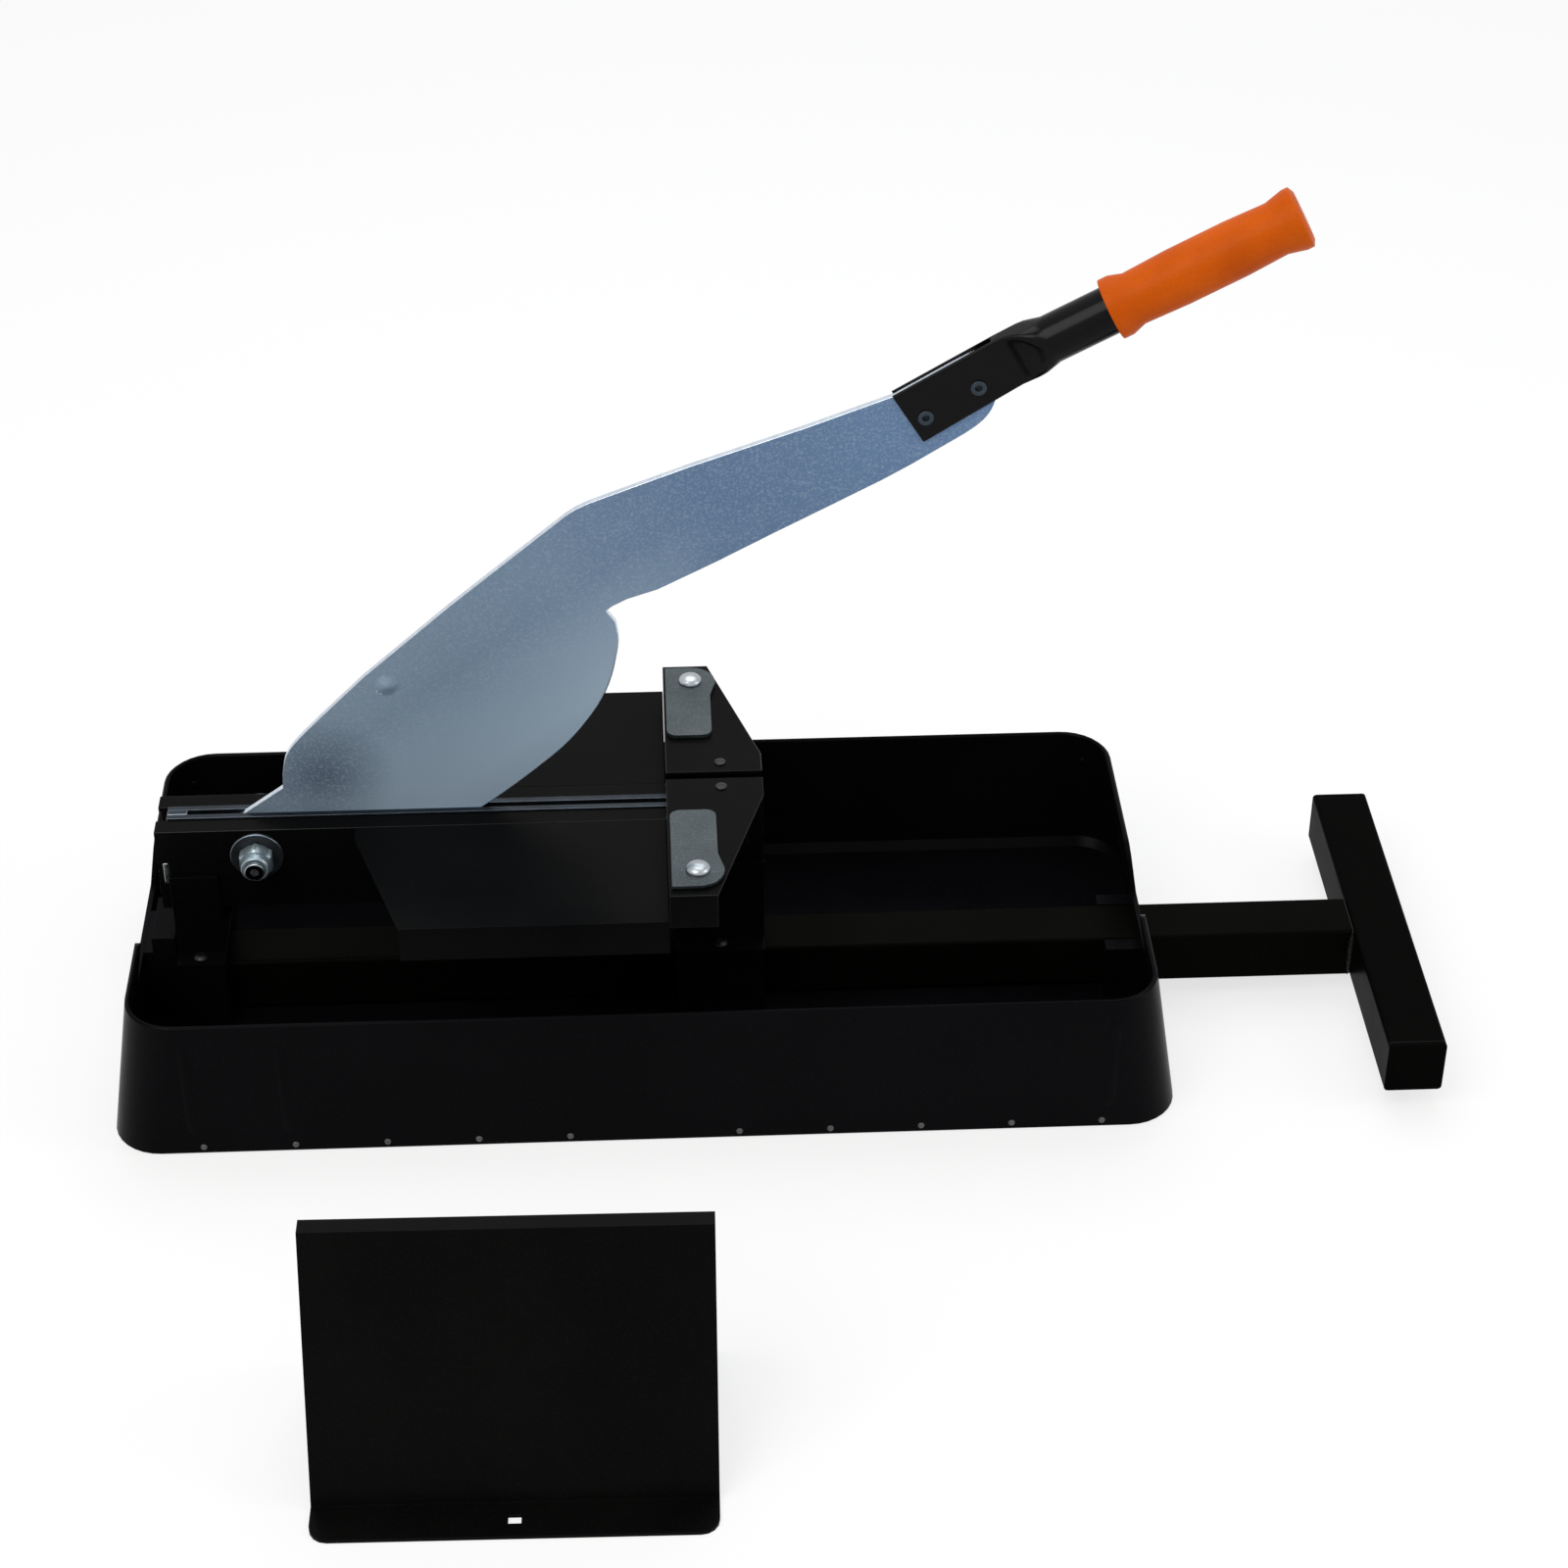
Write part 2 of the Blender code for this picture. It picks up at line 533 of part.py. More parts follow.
def rail(side, sign):
    """An L-shaped rail with a taller end that carries a fence plate."""
    outer, inner, lip = sign * RAIL_HALF, sign * RAIL_INNER, sign * RAIL_LIP

    def section(low, top):
        return [(outer, low), (outer, top), (lip, top), (lip, top - RAIL_SHEET), (inner, top - RAIL_SHEET), (inner, low)]

    body = prism(side + "_rail", "X", section(RAIL_BOTTOM, RAIL_TOP), RAIL_LEFT, RAIL_RIGHT, BLACK_PAINT)
    raised_low = RAIL_TOP - RAIL_SHEET * 2
    join(body, prism(side + "_raised", "X", section(raised_low, RAISED_TOP), STEP_LEFT, RAIL_RIGHT, None))
    across = sorted((outer, inner))
    cut(body,
        hole(side + "_pivot_way", "Y", PIVOT_BOLT / 2 + RUNNING, (PIVOT_ALONG, PIVOT_HEIGHT), *across),
        hole(side + "_end_way", "Y", END_BOLT / 2 + RUNNING, (END_BOLT_ALONG, END_BOLT_UP), *across),
        hole(side + "_fence_way", "Z", FENCE_SCREW / 2 + GAP, (RAIL_RIGHT - FENCE_SCREW_IN, sign * fence_screw_out()),
             RAISED_TOP - RAIL_SHEET, RAISED_TOP))
    half_width, half_height = KEY_WIDTH / 2 + GAP, KEY_HEIGHT / 2 + GAP
    cut(body, box(side + "_key_way", (KEY_ALONG - half_width, KEY_ALONG + half_width),
                  (across[0] - OVERRUN, across[1] + OVERRUN), (KEY_UP - half_height, KEY_UP + half_height), None))
    return body


def fence_screw_out():
    """A fence screw sits in the middle of the raised flange."""
    return (RAIL_LIP + RAIL_HALF) / 2


def stand(name, left, length):
    """A hat-shaped sheet: feet on the pedestals, cheeks outside the rails, its crown under the rails."""
    outer, cheek_out, cheek_in = PEDESTAL_OUTER, STAND_OUTER, STAND_INNER
    low, floor, top = STAND_BASE, STAND_BASE + STAND_SHEET, STAND_BASE + STAND_RISE
    half = [(cheek_in, floor), (cheek_in, top), (cheek_out, top), (cheek_out, floor), (outer, floor), (outer, low)]
    outline = half + [(-y, z) for y, z in reversed(half)]
    body = prism(name + "_stand", "X", outline, left, left + length, BLACK_PAINT)
    for side, sign in (("front", -1), ("back", 1)):
        spot = (left + length / 2, sign * STAND_SCREW_OUT)
        cut(body, hole(name + "_" + side + "_clear", "Z", STAND_SCREW / 2 + GAP, spot, low, floor))
        lathe(name + "_" + side + "_stand_screw", "Z",
              screw_profile(STAND_SCREW, STAND_SCREW_LENGTH, STAND_SCREW_HEAD, STAND_SCREW_HEAD_HEIGHT),
              ZINC, SMALL_SIDES, (*spot, floor + GAP))
    return body


def screw_profile(shank, length, head, head_height):
    """A domed screw seen from its seat at zero: shank down, head up."""
    return [(0, -length), (shank / 2, -length), (shank / 2, 0), (head / 2, 0),
            (head / 2, head_height / 2), (head / 4, head_height), (0, head_height)]


def bed_plate(side, sign):
    """The flat plate under the plank, with its outer edge turned down."""
    inner, outer = sign * (RAIL_HALF + GAP), sign * BED_HALF
    right = STEP_LEFT - GAP
    slant = sign * (BED_HALF - BED_CORNER_ACROSS)
    outline = [(right, inner), (right, outer), (BED_LEFT + BED_CORNER_ALONG, outer), (BED_LEFT, slant), (BED_LEFT, inner)]
    body = prism(side + "_bed_plate", "Z", outline, RAIL_TOP - BED_SHEET, RAIL_TOP, BLACK_PAINT)
    apron = sorted((outer, outer - sign * BED_SHEET))
    join(body, box(side + "_bed_apron", (BED_LEFT + BED_CORNER_ALONG, right), apron,
                   (RAIL_TOP - BED_APRON, RAIL_TOP), None))
    return body


def fence_plate(side, sign):
    """The raised plate beside the plank: a face that the plank meets, a slanting corner and an apron."""
    inner, outer = sign * FENCE_SLOT_HALF, sign * BED_HALF
    corner = RAIL_RIGHT - FENCE_CORNER_ALONG
    outline = [(STEP_LEFT, inner), (RAIL_RIGHT, inner), (RAIL_RIGHT, sign * FENCE_CORNER_START),
               (corner, outer), (STEP_LEFT, outer)]
    body = prism(side + "_fence_plate", "Z", outline, FENCE_UNDER, FENCE_TOP, BLACK_PAINT)
    apron = sorted((outer, outer - sign * BED_SHEET))
    face = sorted((outer, sign * (RAIL_HALF + GAP)))
    join(body,
         box(side + "_fence_apron", (STEP_LEFT, corner), apron, (FENCE_TOP - BED_APRON, FENCE_TOP), None),
         box(side + "_fence_face", (STEP_LEFT, STEP_LEFT + BED_SHEET), face, (RAIL_TOP - BED_SHEET, FENCE_TOP), None))
    cut(body,
        hole(side + "_fence_clear", "Z", FENCE_SCREW / 2 + GAP, (RAIL_RIGHT - FENCE_SCREW_IN, sign * fence_screw_out()),
             FENCE_UNDER, FENCE_TOP),
        hole(side + "_stop_clear", "Z", RIVET_SHANK / 2 + GAP, (STEP_LEFT + STOP_RIVET_IN, sign * STOP_RIVET_OUT),
             FENCE_UNDER, FENCE_TOP))
    lathe(side + "_fence_screw", "Z",
          screw_profile(FENCE_SCREW, FENCE_SCREW_LENGTH, FENCE_SCREW_HEAD, FENCE_SCREW_HEAD_HEIGHT), BLACK_PAINT,
          SMALL_SIDES, (RAIL_RIGHT - FENCE_SCREW_IN, sign * fence_screw_out(), FENCE_TOP + GAP))
    return body


def stop_outline(sign):
    """A stop plate round its rivet: a strip towards the blade's plane and a round ear on the right."""
    left = STOP_SETBACK - STOP_RIVET_IN
    right = left + STOP_WIDTH
    inner = STOP_INNER - STOP_RIVET_OUT
    ear_start = math.degrees(math.asin(-STOP_ROUND / STOP_EAR))
    inner_left = arc((left + STOP_ROUND, inner + STOP_ROUND), STOP_ROUND, 180, 270, CORNER_STEPS)
    inner_right = arc((right - STOP_ROUND, inner + STOP_ROUND), STOP_ROUND, 270, 360, CORNER_STEPS)
    ear = arc((0, 0), STOP_EAR, ear_start, 90, 2 * CORNER_STEPS)
    outline = inner_left + inner_right + [(right, -STOP_EAR)] + ear + [(left, STOP_EAR)]
    return [(x, sign * y) for x, y in outline]


def dome(radius, seat, height):
    """Profile points of a domed head from its edge to its crown."""
    return [(radius * math.cos(angle), seat + height * math.sin(angle))
            for angle in (math.pi / 2 * i / CORNER_STEPS for i in range(CORNER_STEPS))] + [(0, seat + height)]


def stop_plate(side, sign):
    pin = empty(side + "_stop_axis", (STEP_LEFT + STOP_RIVET_IN, sign * STOP_RIVET_OUT, FENCE_TOP))
    low, high = GAP, GAP + STOP_SHEET
    body = prism(side + "_stop_plate", "Z", stop_outline(sign), low, high, ZINC, parent=pin)
    cut(body, hole(side + "_stop_bore", "Z", RIVET_SHANK / 2 + RUNNING, (0, 0), low, high, pin))
    seat = high + GAP
    under = FENCE_UNDER - FENCE_TOP - GAP
    lathe(side + "_stop_rivet", "Z",
          [(0, under - RIVET_TAIL_HEIGHT), (RIVET_TAIL / 2, under - RIVET_TAIL_HEIGHT), (RIVET_TAIL / 2, under),
           (RIVET_SHANK / 2, under), (RIVET_SHANK / 2, seat)] + dome(RIVET_HEAD / 2, seat, RIVET_HEAD_HEIGHT),
          ZINC, SMALL_SIDES, (STEP_LEFT + STOP_RIVET_IN, sign * STOP_RIVET_OUT, FENCE_TOP))
    return body


def counter_blade(side, sign):
    across = sorted((sign * COUNTER_INNER, sign * COUNTER_OUTER))
    low = arc((COUNTER_LEFT + COUNTER_ROUND, COUNTER_BOTTOM + COUNTER_ROUND), COUNTER_ROUND, 180, 270, CORNER_STEPS)
    outline = low + [(COUNTER_RIGHT, COUNTER_BOTTOM), (COUNTER_RIGHT, COUNTER_TOP), (COUNTER_LEFT, COUNTER_TOP)]
    body = prism(side + "_counter_blade", "Y", outline, *across, ZINC)
    cut(body,
        hole(side + "_counter_pivot", "Y", PIVOT_BOLT / 2 + RUNNING, (PIVOT_ALONG, PIVOT_HEIGHT), *across),
        hole(side + "_counter_end", "Y", END_BOLT / 2 + RUNNING, (END_BOLT_ALONG, END_BOLT_UP), *across))
    return body


def counter_end():
    """The round-nosed block that closes the slot at its left end, and the key that holds it in the rails."""
    half = COUNTER_INNER - GAP
    low = COUNTER_BOTTOM + COUNTER_ROUND + GAP
    box("counter_end_block", (COUNTER_LEFT, COUNTER_LEFT + COUNTER_END_LENGTH), (-half, half), (low, COUNTER_TOP), ZINC)
    box("counter_key", (KEY_ALONG - KEY_WIDTH / 2, KEY_ALONG + KEY_WIDTH / 2), (-RAIL_HALF, RAIL_HALF),
        (KEY_UP - KEY_HEIGHT / 2, KEY_UP + KEY_HEIGHT / 2), ZINC)


def hexagon(across, centre=(0, 0)):
    radius = across / math.sqrt(3)
    return [(centre[0] + radius * math.cos(math.radians(60 * i)), centre[1] + radius * math.sin(math.radians(60 * i)))
            for i in range(6)]


def bolt(name, shank, head_across, head_height, seat, tip, location, kind=ZINC):
    """A hex bolt along Y: head outside the seat at the back, shank forward to the tip."""
    body = prism(name, "Y", hexagon(head_across), seat, seat + head_height, kind, location)
    shaft = prism(name + "_shank", "Y", circle(shank / 2, SMALL_SIDES + 4), tip, seat + head_height / 2, None, location)
    return join(body, shaft)


def nut(name, bore, across, low, high, location, kind=ZINC):
    body = prism(name, "Y", hexagon(across), low, high, kind, location)
    return cut(body, prism(name + "_bore", "Y", circle(bore / 2 + GAP, SMALL_SIDES + 4), low - PIVOT_NUT_HEIGHT,
                           high + OVERRUN, None, location))


def pivot_set():
    """Bolt, lock nut, washers and spacers that hold the rails, counter blades and blade together."""
    washer_in = RAIL_HALF + GAP
    washer_out = washer_in + PIVOT_WASHER_THICK
    nut_in = washer_out + GAP
    nut_out = nut_in + PIVOT_NUT_HEIGHT
    bore = PIVOT_BOLT / 2 + RUNNING
    bolt("pivot_bolt", PIVOT_BOLT, PIVOT_HEAD_ACROSS, PIVOT_HEAD_HEIGHT, nut_in,
         -(nut_out + PIVOT_NUT_COLLAR + PIVOT_BOLT_PROUD), PIVOT)
    body = nut("pivot_lock_nut", PIVOT_BOLT, PIVOT_HEAD_ACROSS, -nut_out, -nut_in, PIVOT)
    collar_radius = PIVOT_HEAD_ACROSS / 2 - PIVOT_NUT_COLLAR_INSET / 2
    collar = finish("lock_nut_collar", ring_mesh("Y", collar_radius, PIVOT_BOLT / 2 + GAP,
                    -nut_out - PIVOT_NUT_COLLAR, -nut_out + OVERRUN / 2, SMALL_SIDES + 4), None, PIVOT)
    join(body, collar)
    ring("pivot_front_washer", "Y", PIVOT_WASHER / 2, bore, -washer_out, -washer_in, ZINC, location=PIVOT)
    ring("pivot_back_washer", "Y", PIVOT_WASHER / 2, bore, washer_in, washer_out, ZINC, location=PIVOT)
    for side, sign in (("front", -1), ("back", 1)):
        across = sorted((sign * (COUNTER_OUTER + GAP), sign * (RAIL_INNER - GAP)))
        ring("pivot_" + side + "_spacer", "Y", bore + SPACER_WALL, bore, *across, ZINC, location=PIVOT)


def end_bolt_set():
    """Bolt, nut and spacers at the right end of the counter blades."""
    place = Vector((END_BOLT_ALONG, 0, END_BOLT_UP))
    seat = RAIL_HALF + GAP
    bolt("counter_bolt", END_BOLT, END_BOLT_HEAD_ACROSS, END_BOLT_HEAD_HEIGHT, seat,
         -(seat + END_NUT_HEIGHT + END_BOLT_PROUD), place, BLACK_PAINT)
    nut("counter_nut", END_BOLT, END_BOLT_HEAD_ACROSS, -(seat + END_NUT_HEIGHT), -seat, place, BLACK_PAINT)
    bore = END_BOLT / 2 + RUNNING
    for side, sign in (("front", -1), ("back", 1)):
        across = sorted((sign * (COUNTER_OUTER + GAP), sign * (RAIL_INNER - GAP)))
        ring("counter_" + side + "_spacer", "Y", bore + SPACER_WALL, bore, *across, ZINC, SMALL_SIDES, place)


def smooth_through(points, steps):
    """A curve that runs through the given points, with its ends kept."""
    curve = []
    last = len(points) - 1
    for i in range(last):
        before, start, end, after = (Vector(points[min(max(i + j, 0), last)]) for j in (-1, 0, 1, 2))
        for step in range(steps):
            t = step / steps
            place = (2 * start + (end - before) * t + (2 * before - 5 * start + 4 * end - after) * t ** 2
                     + (3 * start - before - 3 * end + after) * t ** 3) / 2
            curve.append(tuple(place))
    return curve + [points[-1]]


def blade_outline():
    """The blade from the top of its heel, over the back and arm, down the cutting lobe and round the pivot."""
    shares = (smooth_through(HEEL_SHARES, CURVE_STEPS) + list(BACK_SHARES)
              + smooth_through(ARM_END_SHARES, CURVE_STEPS) + list(ARM_SHARES)
              + smooth_through(LOBE_SHARES, CURVE_STEPS))
    points = [(x * BLADE_LENGTH, z * BLADE_LENGTH) for x, z in shares]
    return points + arc((0, 0), BLADE_LENGTH * HEEL_RADIUS_SHARE, -90, -234, 3 * CORNER_STEPS)


def blade(axis):
    half = BLADE_THICK / 2
    body = prism("blade", "Y", blade_outline(), -half, half, BLADE_STEEL, parent=axis)
    bush_outer = PIVOT_BOLT / 2 + RUNNING + BLADE_BUSH_WALL
    cut(body, hole("blade_pivot_bore", "Y", bush_outer + GAP, (0, 0), -half, half, axis, ROUND_SIDES))
    ring("blade_bush", "Y", bush_outer, PIVOT_BOLT / 2 + RUNNING, -half, half, BRONZE, parent=axis)
    spot = tuple(share * BLADE_LENGTH for share in BLADE_RIVET_SHARES)
    cut(body, hole("blade_rivet_bore", "Y", BLADE_RIVET_SHANK / 2 + GAP, spot, -half, half, axis))
    seat = half + GAP
    head, shank = BLADE_RIVET_HEAD / 2, BLADE_RIVET_SHANK / 2
    top = seat + BLADE_RIVET_HEAD_HEIGHT
    lathe("blade_rivet", "Y",
          [(0, -top), (shank, -top), (head, -seat), (shank, -seat), (shank, seat), (head, seat), (shank, top), (0, top)],
          ZINC, SMALL_SIDES, (spot[0], 0, spot[1]), axis)
    for number, place in enumerate(fork_rivet_places()):
        cut(body, hole("blade_fork_bore_%d" % number, "Y", FORK_RIVET_SHANK / 2 + GAP, place, -half, half, axis))
    return body


def fork_point(along, lift):
    """A point of the fork in the XZ plane of the pivot: along its slope and square to it."""
    run, rise = math.cos(FORK_TURN), math.sin(FORK_TURN)
    return (FORK_ALONG + along * run - lift * rise, FORK_UP + along * rise + lift * run)


def fork_rivet_places():
    return [fork_point(along * FORK_LENGTH, lift * FORK_LENGTH) for along, lift in FORK_RIVET_SHARES]


def tube_frame():
    """Start, direction and upright of the round tube beyond the fork."""
    start = fork_point(FORK_LENGTH, 0)
    along = Vector((math.cos(TUBE_TURN), 0, math.sin(TUBE_TURN)))
    return Vector((start[0], 0, start[1])), along, Vector((-along.z, 0, along.x))


def section_ring(bm, centre, up, height, width, squareness, sides):
    """A closed loop between a rounded flat and a circle, in the plane square to the tube."""
    across = Vector((0, 1, 0))
    verts = []
    for i in range(sides):
        angle = 2 * math.pi * (i + 0.5) / sides
        c, s = math.cos(angle), math.sin(angle)
        power = 1 / squareness
        y = math.copysign(abs(c) ** power, c) * width / 2
        z = math.copysign(abs(s) ** power, s) * height / 2
        verts.append(bm.verts.new(centre + across * y + up * z))
    return verts


def handle(axis):
    """The tube with its end pressed flat and slotted over the blade's arm."""
    sides = 2 * SMALL_SIDES
    bm = bmesh.new()
    fork_up = Vector((-math.sin(FORK_TURN), 0, math.cos(FORK_TURN)))
    start, along, tube_up = tube_frame()
    rings = []
    for share, height in ((0, FORK_HEIGHT), (1, FORK_END_HEIGHT)):
        x, z = fork_point(FORK_LENGTH * share, 0)
        rings.append(section_ring(bm, Vector((x, 0, z)), fork_up, height, FORK_THICK, FORK_SQUARENESS, sides))
    for share in BLEND_SHARES:
        ease = share * share * (3 - 2 * share)
        centre = start + along * (FORK_BLEND * share)
        height = FORK_END_HEIGHT + (TUBE_DIAMETER - FORK_END_HEIGHT) * ease
        width = FORK_THICK + (TUBE_DIAMETER - FORK_THICK) * ease
        rings.append(section_ring(bm, centre, tube_up, height, width,
                                  FORK_SQUARENESS + (1 - FORK_SQUARENESS) * ease, sides))
    rings.append(section_ring(bm, start + along * TUBE_LENGTH, tube_up, TUBE_DIAMETER, TUBE_DIAMETER, 1, sides))
    bm.faces.new(rings[0])
    for lower, upper in zip(rings, rings[1:]):
        for i in range(sides):
            j = (i + 1) % sides
            bm.faces.new((lower[i], lower[j], upper[j], upper[i]))
    bm.faces.new(list(reversed(rings[-1])))
    body = finish("handle_tube", bm, BLACK_PAINT, parent=axis, smooth=True)
    slot_half = BLADE_THICK / 2 + GAP
    corners = [fork_point(-OVERRUN, -FORK_HEIGHT), fork_point(FORK_SLOT_END, -FORK_HEIGHT),
               fork_point(FORK_SLOT_END, FORK_HEIGHT), fork_point(-OVERRUN, FORK_HEIGHT)]
    cut(body, prism("fork_slot", "Y", corners, -slot_half, slot_half, None, parent=axis))
    for number, place in enumerate(fork_rivet_places()):
        cut(body, hole("fork_bore_%d" % number, "Y", FORK_RIVET_SHANK / 2 + GAP, place,
                       -FORK_THICK / 2, FORK_THICK / 2, axis))
        fork_rivet(number, place, axis)
    bore = lathe("tube_bore", "Z", [(0, 0), (TUBE_DIAMETER / 2 - TUBE_WALL, 0),
                 (TUBE_DIAMETER / 2 - TUBE_WALL, TUBE_LENGTH), (0, TUBE_LENGTH)], None, SMALL_SIDES)
    bore.parent = axis
    bore.location = start + along * (FORK_BLEND + TUBE_WALL)
    bore.rotation_euler = (0, math.pi / 2 - TUBE_TURN, 0)
    cut(body, bore)
    return body


def fork_rivet(number, place, axis):
    """A hollow-ended rivet across the fork."""
    seat = FORK_THICK / 2 + GAP
    top = seat + FORK_RIVET_HEAD_HEIGHT
    head, shank, bore = FORK_RIVET_HEAD / 2, FORK_RIVET_SHANK / 2, FORK_RIVET_BORE / 2
    deep = top - FORK_RIVET_BORE_DEPTH
    half = [(0, deep), (bore, deep), (bore, top), (head, top), (head, seat), (shank, seat)]
    profile = [(r, -y) for r, y in half] + list(reversed(half))
    lathe("fork_rivet_%d" % (number + 1), "Y", profile, BLACK_PAINT, SMALL_SIDES, (place[0], 0, place[1]), axis)


def grip(axis):
    """The soft grip: a collar, a slight waist, a flared end that closes over the tube."""
    start, along, _ = tube_frame()
    inner = TUBE_DIAMETER / 2 + GAP
    end = TUBE_LENGTH - FORK_BLEND - GRIP_START
    bottom = end + GAP
    collar, body, waist, flare = GRIP_COLLAR / 2, GRIP_DIAMETER / 2, GRIP_WAIST / 2, GRIP_END / 2
    length = bottom + GRIP_END_THICK
    profile = [(0, bottom), (inner, bottom), (inner, 0), (collar, 0), (collar, GRIP_COLLAR_LENGTH),
               (waist, length * GRIP_WAIST_SHARES[0]), (body, length * GRIP_BELLY_SHARES[0]),
               (body, length * GRIP_BELLY_SHARES[1]), (waist, length * GRIP_WAIST_SHARES[1]),
               (flare, length * GRIP_FLARE_SHARE), (flare, length - GRIP_END_THICK / 2),
               (flare - GRIP_END_THICK, length), (0, length)]
    made = lathe("grip", "Z", profile, ORANGE_RUBBER, ROUND_SIDES, start + along * (FORK_BLEND + GRIP_START), axis)
    made.rotation_euler = (0, math.pi / 2 - TUBE_TURN, 0)
    return made


def square_tube(name, axis, low, high, kind, location, parent):
    """A square tube with slightly rounded edges, open at both ends."""
    half = BAR_SECTION / 2
    inner = half - BAR_WALL
    corner = BAR_WALL
    body = prism(name, axis, rounded(-half, half, -half, half, corner), low, high, kind, location, parent, True)
    way = prism(name + "_way", axis, rectangle(-inner, inner, -inner, inner), low - OVERRUN, high + OVERRUN, None,
                location, parent)
    return cut(body, way)


def end_cap(name, axis, outward, end, location, parent):
    """A moulded cap: a plate over the tube's end and a plug inside it."""
    half = BAR_SECTION / 2
    plug = half - BAR_WALL - GAP
    plate = sorted((end + outward * GAP, end + outward * (GAP + CAP_THICK)))
    body = prism(name, axis, rounded(-half, half, -half, half, BAR_WALL), *plate, BLACK_PLASTIC, location, parent, True)
    reach = sorted((end + outward * (GAP + CAP_THICK / 2), end - outward * CAP_PLUG))
    join(body, prism(name + "_plug", axis, rectangle(-plug, plug, -plug, plug), *reach, None, location, parent))
    inner = plug - CAP_PLUG_WALL
    deep = sorted((end, end - outward * (CAP_PLUG + OVERRUN)))
    return cut(body, prism(name + "_core", axis, rectangle(-inner, inner, -inner, inner), *deep, None, location, parent))


def stabiliser(slide):
    """The T bar: a stem that slides in the tray's tunnels and a crossbar on two feet."""
    left = BAR_STEM_LEFT - BAR_ORIGIN.x
    cross = BAR_CROSS_LEFT - BAR_ORIGIN.x
    half = BAR_SECTION / 2
    square_tube("bar_stem", "X", left, cross - GAP, OLIVE_PAINT, (0, 0, 0), slide)
    end_cap("stem_end_cap", "X", -1, left, (0, 0, 0), slide)
    middle = (cross + half, 0, 0)
    square_tube("bar_crossbar", "Y", -BAR_CROSS_LENGTH / 2, BAR_CROSS_LENGTH / 2, BLACK_PAINT, middle, slide)
    for side, sign in (("front", -1), ("back", 1)):
        end_cap("crossbar_%s_cap" % side, "Y", sign, sign * BAR_CROSS_LENGTH / 2, middle, slide)
        radius = FOOT_DIAMETER / 2
        height = BAR_BOTTOM - GAP
        place = (cross + half, sign * (BAR_CROSS_LENGTH / 2 - FOOT_IN), -BAR_ORIGIN.z)
        lathe("crossbar_%s_foot" % side, "Z", [(0, 0), (radius - EDGE_BREAK * 2, 0), (radius, EDGE_BREAK * 2),
              (radius, height), (0, height)], BLACK_RUBBER, SMALL_SIDES + 4, place, slide)


def slide_pads():
    """Low-friction strips on the tray's floor that the stem runs on."""
    low, high = FLOOR_TOP + GAP, BAR_BOTTOM - GAP
    half = PAD_WIDTH / 2
    box("left_slide_pad", (LEFT_STAND_LEFT, LEFT_STAND_LEFT + LEFT_STAND_LENGTH), (-half, half), (low, high), WHITE_NYLON)
    box("right_slide_pad", (RIGHT_STAND_LEFT, RAIL_RIGHT), (-half, half), (low, high), WHITE_NYLON)


def sheet_outline(path, thickness):
    """A bent strip seen on edge: the path is one face, the other lies to its left."""
    points = [Vector(p) for p in path]
    count = len(points)
    offset = []
    for i, point in enumerate(points):
        before = (point - points[i - 1]).normalized() if i else None
        after = (points[i + 1] - point).normalized() if i < count - 1 else None
        first = before or after
        second = after or before
        normal_a = Vector((-first.y, first.x))
        normal_b = Vector((-second.y, second.x))
        middle = (normal_a + normal_b).normalized()
        offset.append(point + middle * (thickness / middle.dot(normal_a)))
    return [tuple(p) for p in points] + [tuple(p) for p in reversed(offset)]


def support():
    """A loose stand of one bent sheet: flange, leaning face, narrow top and a back leg."""
    top_back = SUPPORT_LEAN + SUPPORT_TOP_DEPTH
    path = [(-SUPPORT_FOOT, SUPPORT_SHEET), (0, SUPPORT_SHEET), (SUPPORT_LEAN, SUPPORT_HEIGHT),
            (top_back, SUPPORT_HEIGHT), (top_back + SUPPORT_LEAN, 0)]
    outline = sheet_outline(list(reversed(path)), SUPPORT_SHEET)
    half = SUPPORT_WIDTH / 2
    place = (SUPPORT_ALONG, SUPPORT_ACROSS, 0)
    body = prism("support_stand", "X", outline, -half, half, BLACK_PAINT, place)
    body.rotation_euler = (0, 0, SUPPORT_TURN)
    low, high = -OVERRUN, SUPPORT_SHEET + OVERRUN
    edge = -SUPPORT_FOOT
    for name, sign in (("left", -1), ("right", 1)):
        centre = (sign * (half - SUPPORT_FOOT_ROUND), edge + SUPPORT_FOOT_ROUND)
        sweep = arc(centre, SUPPORT_FOOT_ROUND, 270, 270 + sign * 90, CORNER_STEPS)
        corner = [(sweep[0][0], edge - OVERRUN), (sign * (half + OVERRUN), edge - OVERRUN),
                  (sign * (half + OVERRUN), sweep[-1][1])]
        cutter = prism(name + "_support_corner", "Z", sweep + list(reversed(corner)), low, high, None, place)
        cutter.rotation_euler = body.rotation_euler
        cut(body, cutter)
    slot = rectangle(-SUPPORT_HOLE_LENGTH / 2, SUPPORT_HOLE_LENGTH / 2,
                     edge / 2 - SUPPORT_HOLE_WIDTH / 2, edge / 2 + SUPPORT_HOLE_WIDTH / 2)
    cutter = prism("support_slot", "Z", slot, low, high, None, place)
    cutter.rotation_euler = body.rotation_euler
    cut(body, cutter)
    return body


